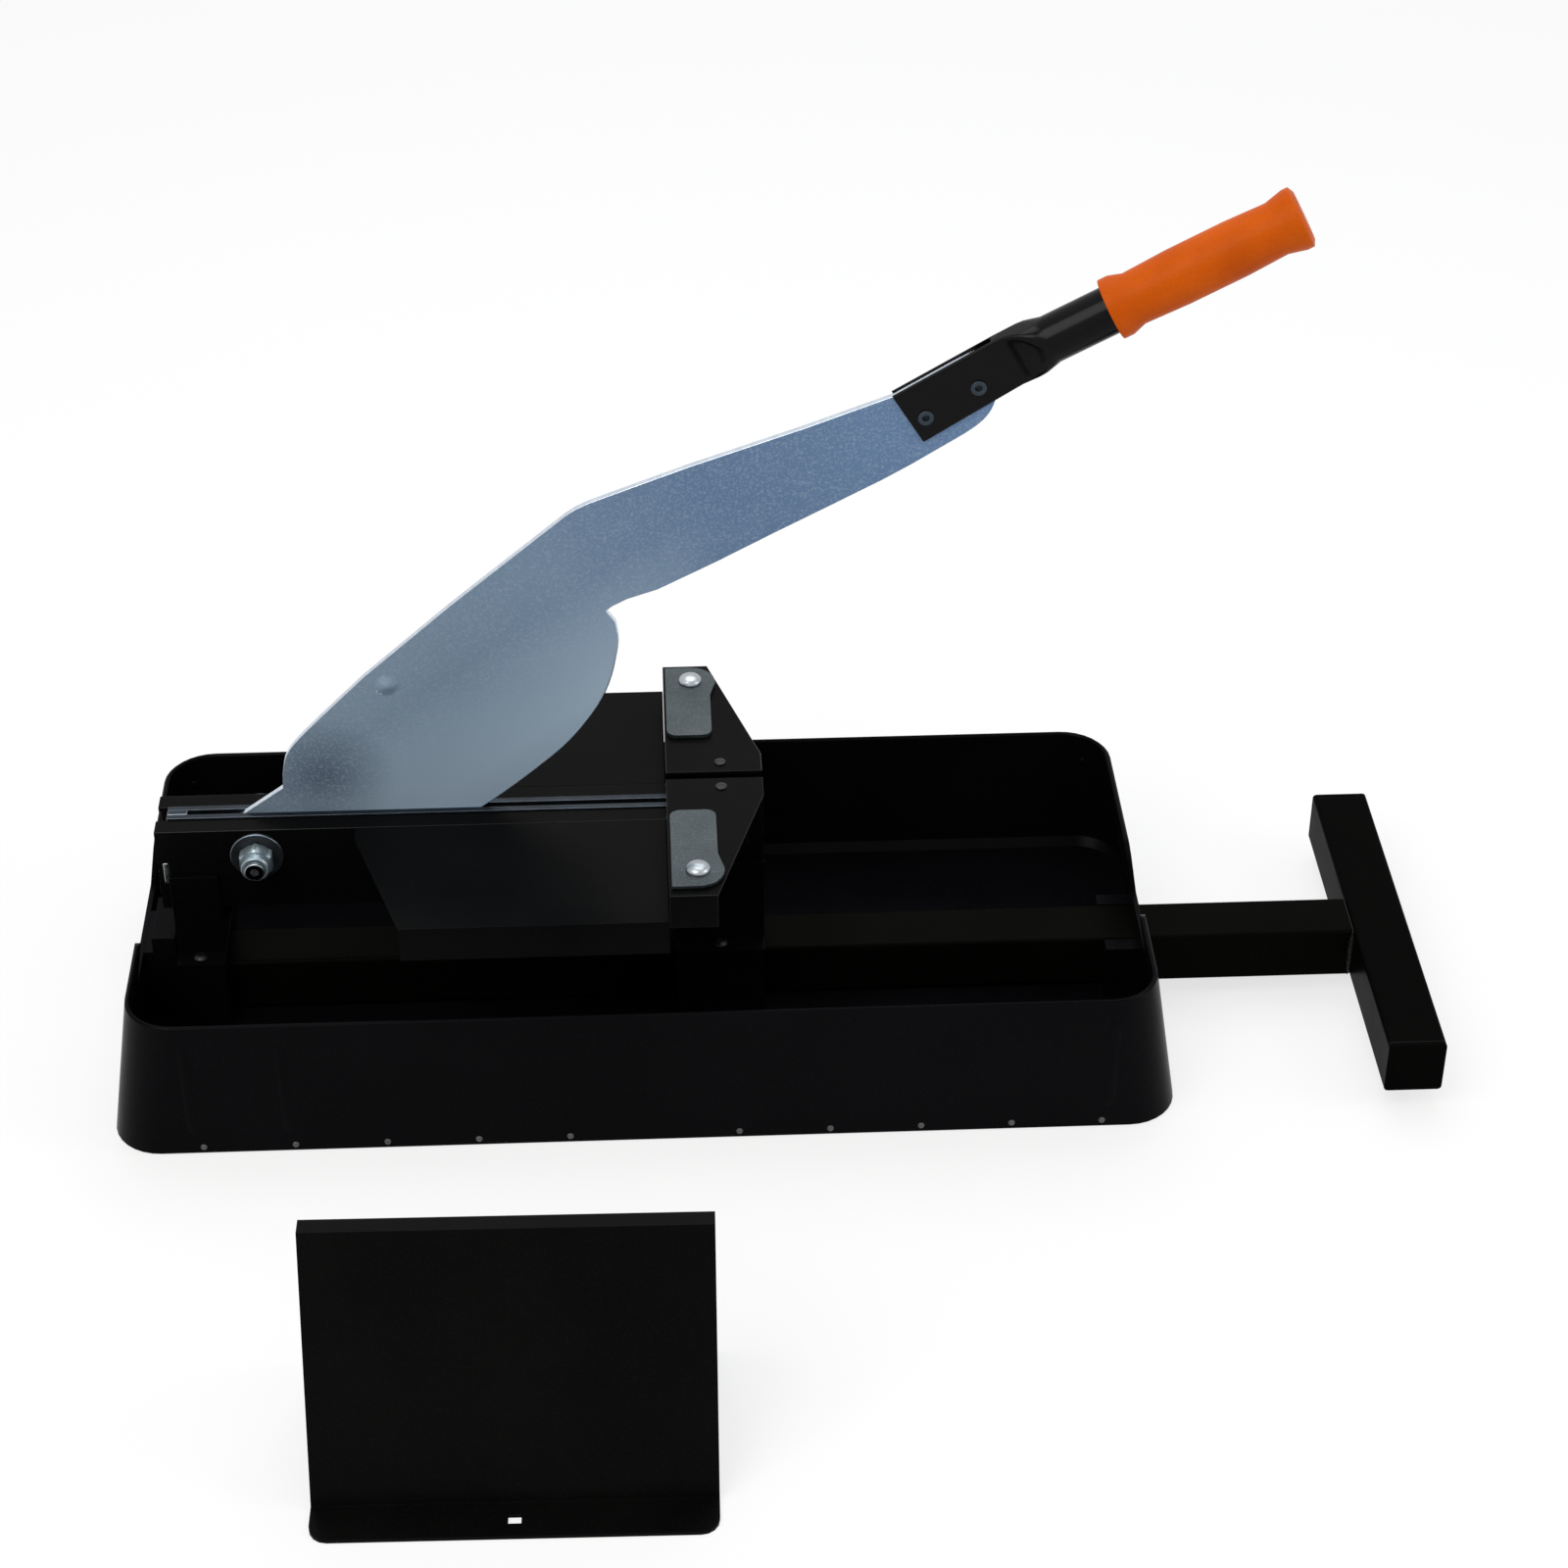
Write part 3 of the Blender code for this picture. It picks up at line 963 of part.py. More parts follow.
def main():
    clear_scene()
    tray()
    stand("left", LEFT_STAND_LEFT, LEFT_STAND_LENGTH)
    stand("right", RIGHT_STAND_LEFT, RIGHT_STAND_LENGTH)
    for side, sign in (("front", -1), ("back", 1)):
        rail(side, sign)
        bed_plate(side, sign)
        fence_plate(side, sign)
        stop_plate(side, sign)
        counter_blade(side, sign)
    counter_end()
    pivot_set()
    end_bolt_set()
    lever = empty("lever_axis", PIVOT)
    blade(lever)
    handle(lever)
    grip(lever)
    slide_pads()
    stabiliser(empty("bar_slide", BAR_ORIGIN))
    support()


main()
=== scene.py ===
import json
import math

import bmesh
import bpy
from mathutils import Matrix, Vector


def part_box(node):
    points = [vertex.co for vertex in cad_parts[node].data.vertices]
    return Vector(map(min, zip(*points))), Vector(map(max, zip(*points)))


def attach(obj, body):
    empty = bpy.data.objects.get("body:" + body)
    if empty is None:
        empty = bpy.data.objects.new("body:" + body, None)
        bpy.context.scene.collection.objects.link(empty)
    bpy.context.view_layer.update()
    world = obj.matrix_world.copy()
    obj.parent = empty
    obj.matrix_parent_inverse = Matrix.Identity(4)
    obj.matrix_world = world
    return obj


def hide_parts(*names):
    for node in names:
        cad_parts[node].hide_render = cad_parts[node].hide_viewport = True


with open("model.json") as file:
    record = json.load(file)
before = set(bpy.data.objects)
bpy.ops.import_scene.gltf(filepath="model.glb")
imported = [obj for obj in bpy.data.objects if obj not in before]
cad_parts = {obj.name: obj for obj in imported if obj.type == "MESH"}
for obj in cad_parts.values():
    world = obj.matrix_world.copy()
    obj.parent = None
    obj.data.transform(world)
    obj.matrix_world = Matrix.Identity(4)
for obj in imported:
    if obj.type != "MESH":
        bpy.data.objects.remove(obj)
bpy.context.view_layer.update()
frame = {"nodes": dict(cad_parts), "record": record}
cadNodes = frame["nodes"]
bodyOf = {node: body for body, nodes in frame["record"]["behaviour"]["bodies"].items() for node in nodes}
slotOf = {part["node"]: part["material_slot"] for part in frame["record"]["subparts"]}
print("frame loaded:", len(cadNodes), "parts")


cameraSettings = {
    "place": (0.01018, -1.63391, 1.31485),
    "pitchDown": 35.215,             # degrees
    "yawRight": 2.698,
    "roll": -0.048,
    "lens": 76.19,                   # mm on a 36 mm sensor
    "sensor": 36.0,
    "clipEnd": 50,                   # metres
}


def addCamera(settings):
    pitch, yaw, roll = (math.radians(settings[key]) for key in ("pitchDown", "yawRight", "roll"))
    forward = Vector((math.sin(yaw) * math.cos(pitch), math.cos(yaw) * math.cos(pitch), -math.sin(pitch)))
    right = Vector((math.cos(yaw), -math.sin(yaw), 0))
    down = forward.cross(right)
    sideways = right * math.cos(roll) + down * math.sin(roll)
    downwards = down * math.cos(roll) - right * math.sin(roll)
    data = bpy.data.cameras.new("photoCamera")
    data.lens = settings["lens"]
    data.sensor_width = settings["sensor"]
    data.clip_end = settings["clipEnd"]
    camera = bpy.data.objects.new("photoCamera", data)
    bpy.context.scene.collection.objects.link(camera)
    turn = Matrix((sideways, -downwards, -forward)).transposed().to_4x4()
    camera.matrix_world = Matrix.Translation(settings["place"]) @ turn
    bpy.context.scene.camera = camera


studioSettings = {
    "floorSize": 14.0,
    "floorColour": (0.86, 0.86, 0.86),
    "floorGlow": 0.72,               # how much of the floor seen by the camera is plain white
    "worldAmbient": 0.55,            # what lights the object
    "lamps": {                       # place, aim, size, watts, colour
        "keyLamp": ((-1.1, -1.3, 2.3), (0.0, 0.0, 0.15), 1.6, 34, (1.0, 0.98, 0.95)),
        "topLamp": ((0.2, 0.9, 2.4), (0.0, 0.0, 0.15), 1.8, 26, (0.95, 0.98, 1.0)),
        "sideLamp": ((2.2, -0.6, 1.4), (0.1, 0.0, 0.15), 1.0, 12, (1.0, 1.0, 1.0)),
    },
}


def nodesOf(material):
    material.use_nodes = True
    return material.node_tree.nodes, material.node_tree.links


def mathNode(nodes, links, operation, first, second):
    # each operand is a socket or a plain number
    node = nodes.new("ShaderNodeMath")
    node.operation = operation
    for socket, value in zip(node.inputs, (first, second)):
        if isinstance(value, (int, float)):
            socket.default_value = value
        else:
            links.new(value, socket)
    return node.outputs[0]


def backgroundRays(nodes, links):
    # camera, glossy and transmission rays see the background, diffuse rays don't
    path = nodes.new("ShaderNodeLightPath").outputs
    seen = mathNode(nodes, links, "MAXIMUM", path["Is Camera Ray"], path["Is Glossy Ray"])
    return mathNode(nodes, links, "MAXIMUM", seen, path["Is Transmission Ray"])


def mixShaders(nodes, links, factor, first, second):
    mix = nodes.new("ShaderNodeMixShader")
    links.new(factor, mix.inputs["Fac"])
    links.new(first, mix.inputs[1])
    links.new(second, mix.inputs[2])
    return mix.outputs[0]


def addStudio(settings):
    world = bpy.data.worlds.new("studioWorld")
    world.use_nodes = True
    bpy.context.scene.world = world
    nodes, links = world.node_tree.nodes, world.node_tree.links
    ambient = nodes["Background"]
    ambient.inputs["Color"].default_value = (1, 1, 1, 1)
    ambient.inputs["Strength"].default_value = settings["worldAmbient"]
    white = nodes.new("ShaderNodeBackground")
    white.inputs["Color"].default_value = (1, 1, 1, 1)
    mixed = mixShaders(nodes, links, backgroundRays(nodes, links), ambient.outputs[0], white.outputs[0])
    links.new(mixed, nodes["World Output"].inputs["Surface"])

    half = settings["floorSize"] / 2
    mesh = bpy.data.meshes.new("studioFloor")
    corners = [(-half, -half, 0), (half, -half, 0), (half, half, 0), (-half, half, 0)]
    mesh.from_pydata(corners, [], [(0, 1, 2, 3)])
    floor = bpy.data.objects.new("studioFloor", mesh)
    bpy.context.scene.collection.objects.link(floor)
    paper = bpy.data.materials.new("floorPaper")
    nodes, links = nodesOf(paper)
    nodes.remove(nodes["Principled BSDF"])
    matte = nodes.new("ShaderNodeBsdfDiffuse")
    matte.inputs["Color"].default_value = (*settings["floorColour"], 1)
    glow = nodes.new("ShaderNodeEmission")
    glow.inputs["Color"].default_value = (1, 1, 1, 1)
    share = mathNode(nodes, links, "MULTIPLY", backgroundRays(nodes, links), settings["floorGlow"])
    mixed = mixShaders(nodes, links, share, matte.outputs[0], glow.outputs[0])
    links.new(mixed, nodes["Material Output"].inputs["Surface"])
    mesh.materials.append(paper)

    for name, (place, aim, size, watts, colour) in settings["lamps"].items():
        lamp = bpy.data.lights.new(name, "AREA")
        lamp.shape = "SQUARE"
        lamp.size = size
        lamp.energy = watts
        lamp.color = colour
        lampObject = bpy.data.objects.new(name, lamp)
        bpy.context.scene.collection.objects.link(lampObject)
        lampObject.location = place
        lampObject.rotation_euler = (Vector(aim) - Vector(place)).to_track_quat("-Z", "Y").to_euler()
    bpy.context.scene.view_settings.view_transform = "Standard"


addCamera(cameraSettings)
addStudio(studioSettings)
print("camera and studio set")


def noiseNode(nodes, links, vector, scale, detail=3.0, rough=0.55):
    noise = nodes.new("ShaderNodeTexNoise")
    noise.inputs["Scale"].default_value = scale
    noise.inputs["Detail"].default_value = detail
    noise.inputs["Roughness"].default_value = rough
    links.new(vector, noise.inputs["Vector"])
    return noise.outputs["Fac"]


def rampNode(nodes, links, factor, stops):
    # stops holds (position, colour) pairs
    ramp = nodes.new("ShaderNodeValToRGB")
    links.new(factor, ramp.inputs["Fac"])
    elements = ramp.color_ramp.elements
    for element, (position, colour) in zip(elements, (stops[0], stops[-1])):
        element.position = position
        element.color = (*colour, 1)
    for position, colour in stops[1:-1]:
        elements.new(position).color = (*colour, 1)
    return ramp.outputs["Color"]


def rangeNode(nodes, links, factor, low, high, fromLow=0.0, fromHigh=1.0):
    spread = nodes.new("ShaderNodeMapRange")
    spread.inputs["From Min"].default_value = fromLow
    spread.inputs["From Max"].default_value = fromHigh
    spread.inputs["To Min"].default_value = low
    spread.inputs["To Max"].default_value = high
    links.new(factor, spread.inputs["Value"])
    return spread.outputs["Result"]


def placeNode(nodes, links, scale=(1, 1, 1), turn=(0, 0, 0)):
    place = nodes.new("ShaderNodeTexCoord")
    mapping = nodes.new("ShaderNodeMapping")
    mapping.inputs["Scale"].default_value = scale
    mapping.inputs["Rotation"].default_value = turn
    links.new(place.outputs["Object"], mapping.inputs["Vector"])
    return mapping.outputs["Vector"]


def lengthNode(nodes, links, start, end):
    # nothing at one place on the part and one at another, measured along the line between them
    place = nodes.new("ShaderNodeTexCoord").outputs["Object"]
    run = Vector(end) - Vector(start)
    shifted = nodes.new("ShaderNodeVectorMath")
    shifted.operation = "SUBTRACT"
    shifted.inputs[1].default_value = start
    links.new(place, shifted.inputs[0])
    dot = nodes.new("ShaderNodeVectorMath")
    dot.operation = "DOT_PRODUCT"
    dot.inputs[1].default_value = run / run.length_squared
    links.new(shifted.outputs[0], dot.inputs[0])
    return dot.outputs["Value"]


def distanceNode(nodes, links, centre):
    place = nodes.new("ShaderNodeTexCoord").outputs["Object"]
    distance = nodes.new("ShaderNodeVectorMath")
    distance.operation = "DISTANCE"
    distance.inputs[1].default_value = centre
    links.new(place, distance.inputs[0])
    return distance.outputs["Value"]


def mixColours(nodes, links, factor, first, second):
    mix = nodes.new("ShaderNodeMix")
    mix.data_type = "RGBA"
    links.new(factor, mix.inputs["Factor"])
    for socket, value in ((mix.inputs["A"], first), (mix.inputs["B"], second)):
        if isinstance(value, tuple):
            socket.default_value = (*value, 1)
        else:
            links.new(value, socket)
    return mix.outputs["Result"]


def bumpNode(nodes, links, height, strength, depth, under=None):
    bump = nodes.new("ShaderNodeBump")
    bump.inputs["Strength"].default_value = strength
    bump.inputs["Distance"].default_value = depth
    links.new(height, bump.inputs["Height"])
    if under is not None:
        links.new(under, bump.inputs["Normal"])
    return bump.outputs["Normal"]


textureShape = {                      # what all finishes share
    "cloudDetail": 4.0,
    "cloudStops": (0.3, 0.7),
    "speckleDetail": 2.0,
    "speckleRough": 0.7,
    "speckleStops": (0.48, 0.72),
    "glossScale": 2.7,               # against the cloud's
    "glossDetail": 2.0,
    "scratchDetail": 3.0,
    "scratchRough": 0.65,
    "scratchStops": (0.60, 0.78),
    "scratchPolish": 0.15,           # how much smoother a scratch is
    "waveDetail": 1.0,
    "waveScale": 40,
    "waveStrength": 0.05,
    "waveDepth": 0.0006,
    "grainDetail": 2.0,
}


def baseColour(nodes, links, vector, settings, shape):
    # clouds of two tones, or a row of tones along a line that the clouds make uneven; on the blade that row
    # is the sheet's own blue-grey with a painted reflection, darker and bluer toward the arm
    cloud = noiseNode(nodes, links, vector, settings["cloudScale"], shape["cloudDetail"])
    if "toneAndReflectionStops" not in settings:
        low, high = shape["cloudStops"]
        return rampNode(nodes, links, cloud, [(low, settings["dark"]), (high, settings["light"])])
    along = lengthNode(nodes, links, settings["toneAndReflectionFrom"], settings["toneAndReflectionTo"])
    uneven = mathNode(nodes, links, "SUBTRACT", cloud, 0.5)
    drift = mathNode(nodes, links, "MULTIPLY", uneven, settings["toneAndReflectionDrift"])
    return rampNode(nodes, links, mathNode(nodes, links, "ADD", along, drift), settings["toneAndReflectionStops"])


def paintedLightPatch(nodes, links, colour, settings):
    # painted light: a lighter tone, a pool of light painted on the sheet, that grows across it and fades
    # along it
    across = lengthNode(nodes, links, settings["litFrom"], settings["litTo"])
    across = rangeNode(nodes, links, across, 0.0, settings["litAmount"])
    along = lengthNode(nodes, links, settings["litFadeFrom"], settings["litFadeTo"])
    fade = rangeNode(nodes, links, along, 0.0, 1.0)
    amount = mathNode(nodes, links, "MULTIPLY", across, fade)
    return mixColours(nodes, links, amount, colour, settings["lit"])


def paintedDarkReflection(nodes, links, colour, settings):
    # painted shade: a dark reflection painted as a soft round patch about a point, fading outward
    distance = distanceNode(nodes, links, settings["shadePlace"])
    amount = rangeNode(nodes, links, distance, settings["shadeAmount"], 0.0, 0.0, settings["shadeReach"])
    return mixColours(nodes, links, amount, colour, settings["shade"])


def makeFinish(name, settings, shape):
    # cloudy colour with a fine speckle and thin scratches, uneven gloss, and a grain over a softer wave
    material = bpy.data.materials.new(name)
    nodes, links = nodesOf(material)
    shader = nodes["Principled BSDF"]
    shader.inputs["Metallic"].default_value = settings.get("metal", 0.0)
    shader.inputs["Specular IOR Level"].default_value = settings.get("specular", 0.5)
    if "coat" in settings:
        shader.inputs["Coat Weight"].default_value = settings["coat"]
        shader.inputs["Coat Roughness"].default_value = settings["coatRoughness"]
    vector = placeNode(nodes, links, settings.get("stretch", (1, 1, 1)))
    colour = baseColour(nodes, links, vector, settings, shape)
    # painted light and painted shade, where a finish asks for them
    if "lit" in settings:
        colour = paintedLightPatch(nodes, links, colour, settings)
    if "shade" in settings:
        colour = paintedDarkReflection(nodes, links, colour, settings)
    if "speckle" in settings:
        fine = noiseNode(nodes, links, placeNode(nodes, links), settings["speckleScale"],
                         shape["speckleDetail"], shape["speckleRough"])
        amount = rangeNode(nodes, links, fine, 0.0, settings["speckleAmount"], *shape["speckleStops"])
        colour = mixColours(nodes, links, amount, colour, settings["speckle"])
    shineScale = settings["cloudScale"] * shape["glossScale"]
    shine = noiseNode(nodes, links, vector, shineScale, shape["glossDetail"])
    rough = rangeNode(nodes, links, shine, *settings["gloss"])
    if "scratch" in settings:
        streaks = placeNode(nodes, links, settings["scratchStretch"], settings.get("scratchTurn", (0, 0, 0)))
        lines = noiseNode(nodes, links, streaks, settings["scratchScale"], shape["scratchDetail"],
                          shape["scratchRough"])
        marks = rangeNode(nodes, links, lines, 0.0, settings["scratchAmount"], *shape["scratchStops"])
        colour = mixColours(nodes, links, marks, colour, settings["scratch"])
        polish = mathNode(nodes, links, "MULTIPLY", marks, shape["scratchPolish"])
        rough = mathNode(nodes, links, "SUBTRACT", rough, polish)
    links.new(colour, shader.inputs["Base Color"])
    links.new(rough, shader.inputs["Roughness"])
    wave = noiseNode(nodes, links, vector, settings.get("waveScale", shape["waveScale"]), shape["waveDetail"])
    normal = bumpNode(nodes, links, wave, settings.get("waveStrength", shape["waveStrength"]),
                      settings.get("waveDepth", shape["waveDepth"]))
    grain = noiseNode(nodes, links, vector, settings["grainScale"], shape["grainDetail"])
    normal = bumpNode(nodes, links, grain, settings["reliefStrength"], settings["reliefDepth"], normal)
    links.new(normal, shader.inputs["Normal"])
    return material


finishes = {
    "mouldedPlastic": {
        "dark": (0.0014, 0.0014, 0.0020), "light": (0.0026, 0.0026, 0.0034), "cloudScale": 9,
        "gloss": (0.22, 0.34), "grainScale": 1500, "reliefStrength": 0.22, "reliefDepth": 0.0002,
        "specular": 0.022, "waveScale": 22, "waveStrength": 0.10, "waveDepth": 0.0010,
        "speckle": (0.008, 0.008, 0.009), "speckleScale": 900, "speckleAmount": 0.30,
    },
    "blackPaint": {
        "dark": (0.0013, 0.0013, 0.0013), "light": (0.0026, 0.0026, 0.0025), "cloudScale": 14,
        "gloss": (0.24, 0.36), "grainScale": 620, "reliefStrength": 0.20, "reliefDepth": 0.0003,
        "specular": 0.026, "waveScale": 60, "waveStrength": 0.06, "speckle": (0.010, 0.010, 0.009),
        "speckleScale": 1100, "speckleAmount": 0.25,
    },
    "tubePaint": {
        "dark": (0.0012, 0.0012, 0.0009), "light": (0.0022, 0.0021, 0.0016), "cloudScale": 12,
        "gloss": (0.26, 0.40), "grainScale": 620, "reliefStrength": 0.22, "reliefDepth": 0.0003,
        "specular": 0.009, "waveScale": 50, "waveStrength": 0.08, "speckle": (0.007, 0.007, 0.006),
        "speckleScale": 1000, "speckleAmount": 0.25,
    },
    "crossPaint": {
        "dark": (0.0011, 0.0011, 0.0010), "light": (0.0020, 0.0020, 0.0018), "cloudScale": 12,
        "gloss": (0.28, 0.42), "grainScale": 620, "reliefStrength": 0.22, "reliefDepth": 0.0003,
        "specular": 0.006, "waveScale": 50, "waveStrength": 0.08, "speckle": (0.006, 0.006, 0.006),
        "speckleScale": 1000, "speckleAmount": 0.20,
    },
    # painted highlight: a lighter, shinier copy of the black paint that goes only on broken edges, for the
    # light they catch
    "paintedEdgeHighlight": {
        "dark": (0.0035, 0.0037, 0.0040), "light": (0.0060, 0.0063, 0.0068), "cloudScale": 30,
        "gloss": (0.20, 0.32), "grainScale": 700, "reliefStrength": 0.12, "reliefDepth": 0.0002,
        "specular": 0.16,
    },
    "handlePaint": {
        "dark": (0.0012, 0.0012, 0.0014), "light": (0.0022, 0.0022, 0.0026), "cloudScale": 16,
        "gloss": (0.18, 0.26), "grainScale": 700, "reliefStrength": 0.14, "reliefDepth": 0.0002,
        "specular": 0.052, "waveScale": 60, "waveStrength": 0.05, "coat": 0.10, "coatRoughness": 0.16,
        "speckle": (0.009, 0.009, 0.010), "speckleScale": 1100, "speckleAmount": 0.20,
    },
    "bladeSheet": {
        # the sheet's blue-grey with a painted reflection along it, darker and bluer toward the arm
        "toneAndReflectionStops": [
            (0.0, (0.150, 0.200, 0.250)), (0.22, (0.195, 0.270, 0.350)),
            (0.48, (0.168, 0.252, 0.360)), (0.72, (0.100, 0.175, 0.300)),
            (1.0, (0.108, 0.195, 0.350)),
        ],
        "toneAndReflectionFrom": (-0.25, 0, 0.11), "toneAndReflectionTo": (0.20, 0, 0.43), "toneAndReflectionDrift": 0.30, "cloudScale": 9,
        "gloss": (0.40, 0.54), "grainScale": 1300, "reliefStrength": 0.16, "reliefDepth": 0.0002,
        "metal": 0.22, "specular": 0.40, "waveScale": 30, "waveStrength": 0.05,
        "speckle": (0.34, 0.42, 0.52), "speckleScale": 620, "speckleAmount": 0.42,
        "scratch": (0.36, 0.44, 0.54), "scratchScale": 34, "scratchStretch": (1.2, 1, 14),
        # painted light: the lit tone and the lit keys paint a pool of light on the sheet
        "scratchTurn": (0, 0.62, 0), "scratchAmount": 0.30, "lit": (0.390, 0.510, 0.625),
        "litFrom": (-0.100, 0, 0.2525), "litTo": (-0.0616, 0, 0.2013), "litFadeFrom": (0.050, 0, 0),
        "litFadeTo": (-0.020, 0, 0), "litAmount": 0.85, "shade": (0.040, 0.066, 0.105),
        # painted shade: with the shade tone, these paint a dark reflection near the heel
        "shadePlace": (-0.187, 0, 0.177), "shadeReach": 0.042, "shadeAmount": 0.80,
    },
    "groundEdge": {
        "dark": (0.50, 0.56, 0.64), "light": (0.64, 0.70, 0.77), "cloudScale": 60,
        "gloss": (0.22, 0.34), "stretch": (1, 1, 9), "grainScale": 900, "reliefStrength": 0.10,
        "reliefDepth": 0.0002, "metal": 1.0,
    },
    "dullZinc": {
        "dark": (0.040, 0.052, 0.058), "light": (0.062, 0.076, 0.082), "cloudScale": 40,
        "gloss": (0.30, 0.46), "grainScale": 1100, "reliefStrength": 0.14, "reliefDepth": 0.0002,
        "metal": 0.85, "speckle": (0.14, 0.16, 0.17), "speckleScale": 700, "speckleAmount": 0.45,
        "scratch": (0.16, 0.18, 0.19), "scratchScale": 40, "scratchStretch": (1, 12, 1),
        "scratchAmount": 0.30,
    },
    "counterSteel": {
        "dark": (0.012, 0.017, 0.023), "light": (0.024, 0.032, 0.041), "cloudScale": 40,
        "gloss": (0.26, 0.40), "grainScale": 1100, "reliefStrength": 0.12, "reliefDepth": 0.0002,
        "metal": 0.85, "speckle": (0.05, 0.06, 0.07), "speckleScale": 700, "speckleAmount": 0.35,
    },
    "counterEdge": {
        "dark": (0.15, 0.18, 0.22), "light": (0.24, 0.28, 0.33), "cloudScale": 60,
        "gloss": (0.22, 0.34), "grainScale": 900, "reliefStrength": 0.10, "reliefDepth": 0.0002,
        "metal": 1.0,
    },
    "washerZinc": {
        "dark": (0.020, 0.023, 0.026), "light": (0.040, 0.046, 0.050), "cloudScale": 90,
        "gloss": (0.34, 0.48), "grainScale": 1000, "reliefStrength": 0.14, "reliefDepth": 0.0002,
        "metal": 0.8,
    },
    "nutZinc": {
        "dark": (0.20, 0.255, 0.285), "light": (0.32, 0.385, 0.42), "cloudScale": 90,
        "gloss": (0.34, 0.46), "grainScale": 1000, "reliefStrength": 0.10, "reliefDepth": 0.0002,
        "metal": 0.85, "speckle": (0.50, 0.56, 0.60), "speckleScale": 600, "speckleAmount": 0.35,
    },
    "rivetGrey": {
        "dark": (0.022, 0.032, 0.042), "light": (0.038, 0.052, 0.066), "cloudScale": 120,
        "gloss": (0.34, 0.46), "grainScale": 900, "reliefStrength": 0.12, "reliefDepth": 0.0002,
        "metal": 0.4, "specular": 0.2,
    },
    "domeZinc": {
        "dark": (0.30, 0.335, 0.355), "light": (0.42, 0.455, 0.475), "cloudScale": 70,
        "gloss": (0.26, 0.38), "grainScale": 1200, "reliefStrength": 0.10, "reliefDepth": 0.0002,
        "metal": 0.95, "speckle": (0.22, 0.25, 0.27), "speckleScale": 600, "speckleAmount": 0.5,
    },
    "brightZinc": {
        "dark": (0.46, 0.51, 0.54), "light": (0.64, 0.68, 0.70), "cloudScale": 70,
        "gloss": (0.20, 0.32), "grainScale": 1200, "reliefStrength": 0.10, "reliefDepth": 0.0002,
        "metal": 1.0, "speckle": (0.30, 0.33, 0.35), "speckleScale": 600, "speckleAmount": 0.5,
    },
    "darkOxide": {
        "dark": (0.006, 0.006, 0.006), "light": (0.016, 0.016, 0.017), "cloudScale": 120,
        "gloss": (0.28, 0.42), "grainScale": 1100, "reliefStrength": 0.18, "reliefDepth": 0.0002,
        "metal": 0.6,
    },
    # painted highlight: a grey far lighter than the tray's black, so the small nubs show as glints
    "paintedGlintGrey": {
        "dark": (0.045, 0.045, 0.046), "light": (0.085, 0.085, 0.085), "cloudScale": 220,
        "gloss": (0.28, 0.40), "grainScale": 1400, "reliefStrength": 0.25, "reliefDepth": 0.0002,
        "specular": 0.35,
    },
    "bronze": {
        "dark": (0.30, 0.19, 0.08), "light": (0.42, 0.28, 0.13), "cloudScale": 80,
        "gloss": (0.30, 0.45), "grainScale": 1500, "reliefStrength": 0.15, "reliefDepth": 0.0002,
        "metal": 1.0,
    },
    "gripRubber": {
        "dark": (0.45, 0.066, 0.001), "light": (0.56, 0.092, 0.002), "cloudScale": 26,
        "gloss": (0.36, 0.48), "grainScale": 1300, "reliefStrength": 0.25, "reliefDepth": 0.0003,
        "specular": 0.06, "speckle": (0.36, 0.055, 0.002), "speckleScale": 700, "speckleAmount": 0.35,
    },
    "footRubber": {
        "dark": (0.004, 0.004, 0.004), "light": (0.008, 0.008, 0.008), "cloudScale": 40,
        "gloss": (0.65, 0.85), "grainScale": 900, "reliefStrength": 0.3, "reliefDepth": 0.0003,
        "specular": 0.15,
    },
    "slideNylon": {
        "dark": (0.60, 0.60, 0.56), "light": (0.72, 0.72, 0.68), "cloudScale": 30, "gloss": (0.35, 0.5),
        "grainScale": 900, "reliefStrength": 0.15, "reliefDepth": 0.0002,
    },
    "lockNylon": {
        "dark": (0.16, 0.22, 0.26), "light": (0.24, 0.31, 0.35), "cloudScale": 60,
        "gloss": (0.30, 0.45), "grainScale": 900, "reliefStrength": 0.12, "reliefDepth": 0.0002,
    },
    "weldMetal": {
        "dark": (0.0022, 0.0022, 0.0018), "light": (0.0075, 0.0073, 0.0062), "cloudScale": 260,
        "gloss": (0.24, 0.40), "grainScale": 900, "reliefStrength": 0.35, "reliefDepth": 0.0004,
        "specular": 0.10,
    },
    # painted shade: a near-black stand-in for the dark inside of the blade's small hole
    "paintedHoleShade": {
        "dark": (0.004, 0.005, 0.006), "light": (0.012, 0.014, 0.016), "cloudScale": 300,
        "gloss": (0.5, 0.7), "grainScale": 900, "reliefStrength": 0.2, "reliefDepth": 0.0002,
        "specular": 0.1,
    },
}
materials = {name: makeFinish(name, settings, textureShape) for name, settings in finishes.items()}

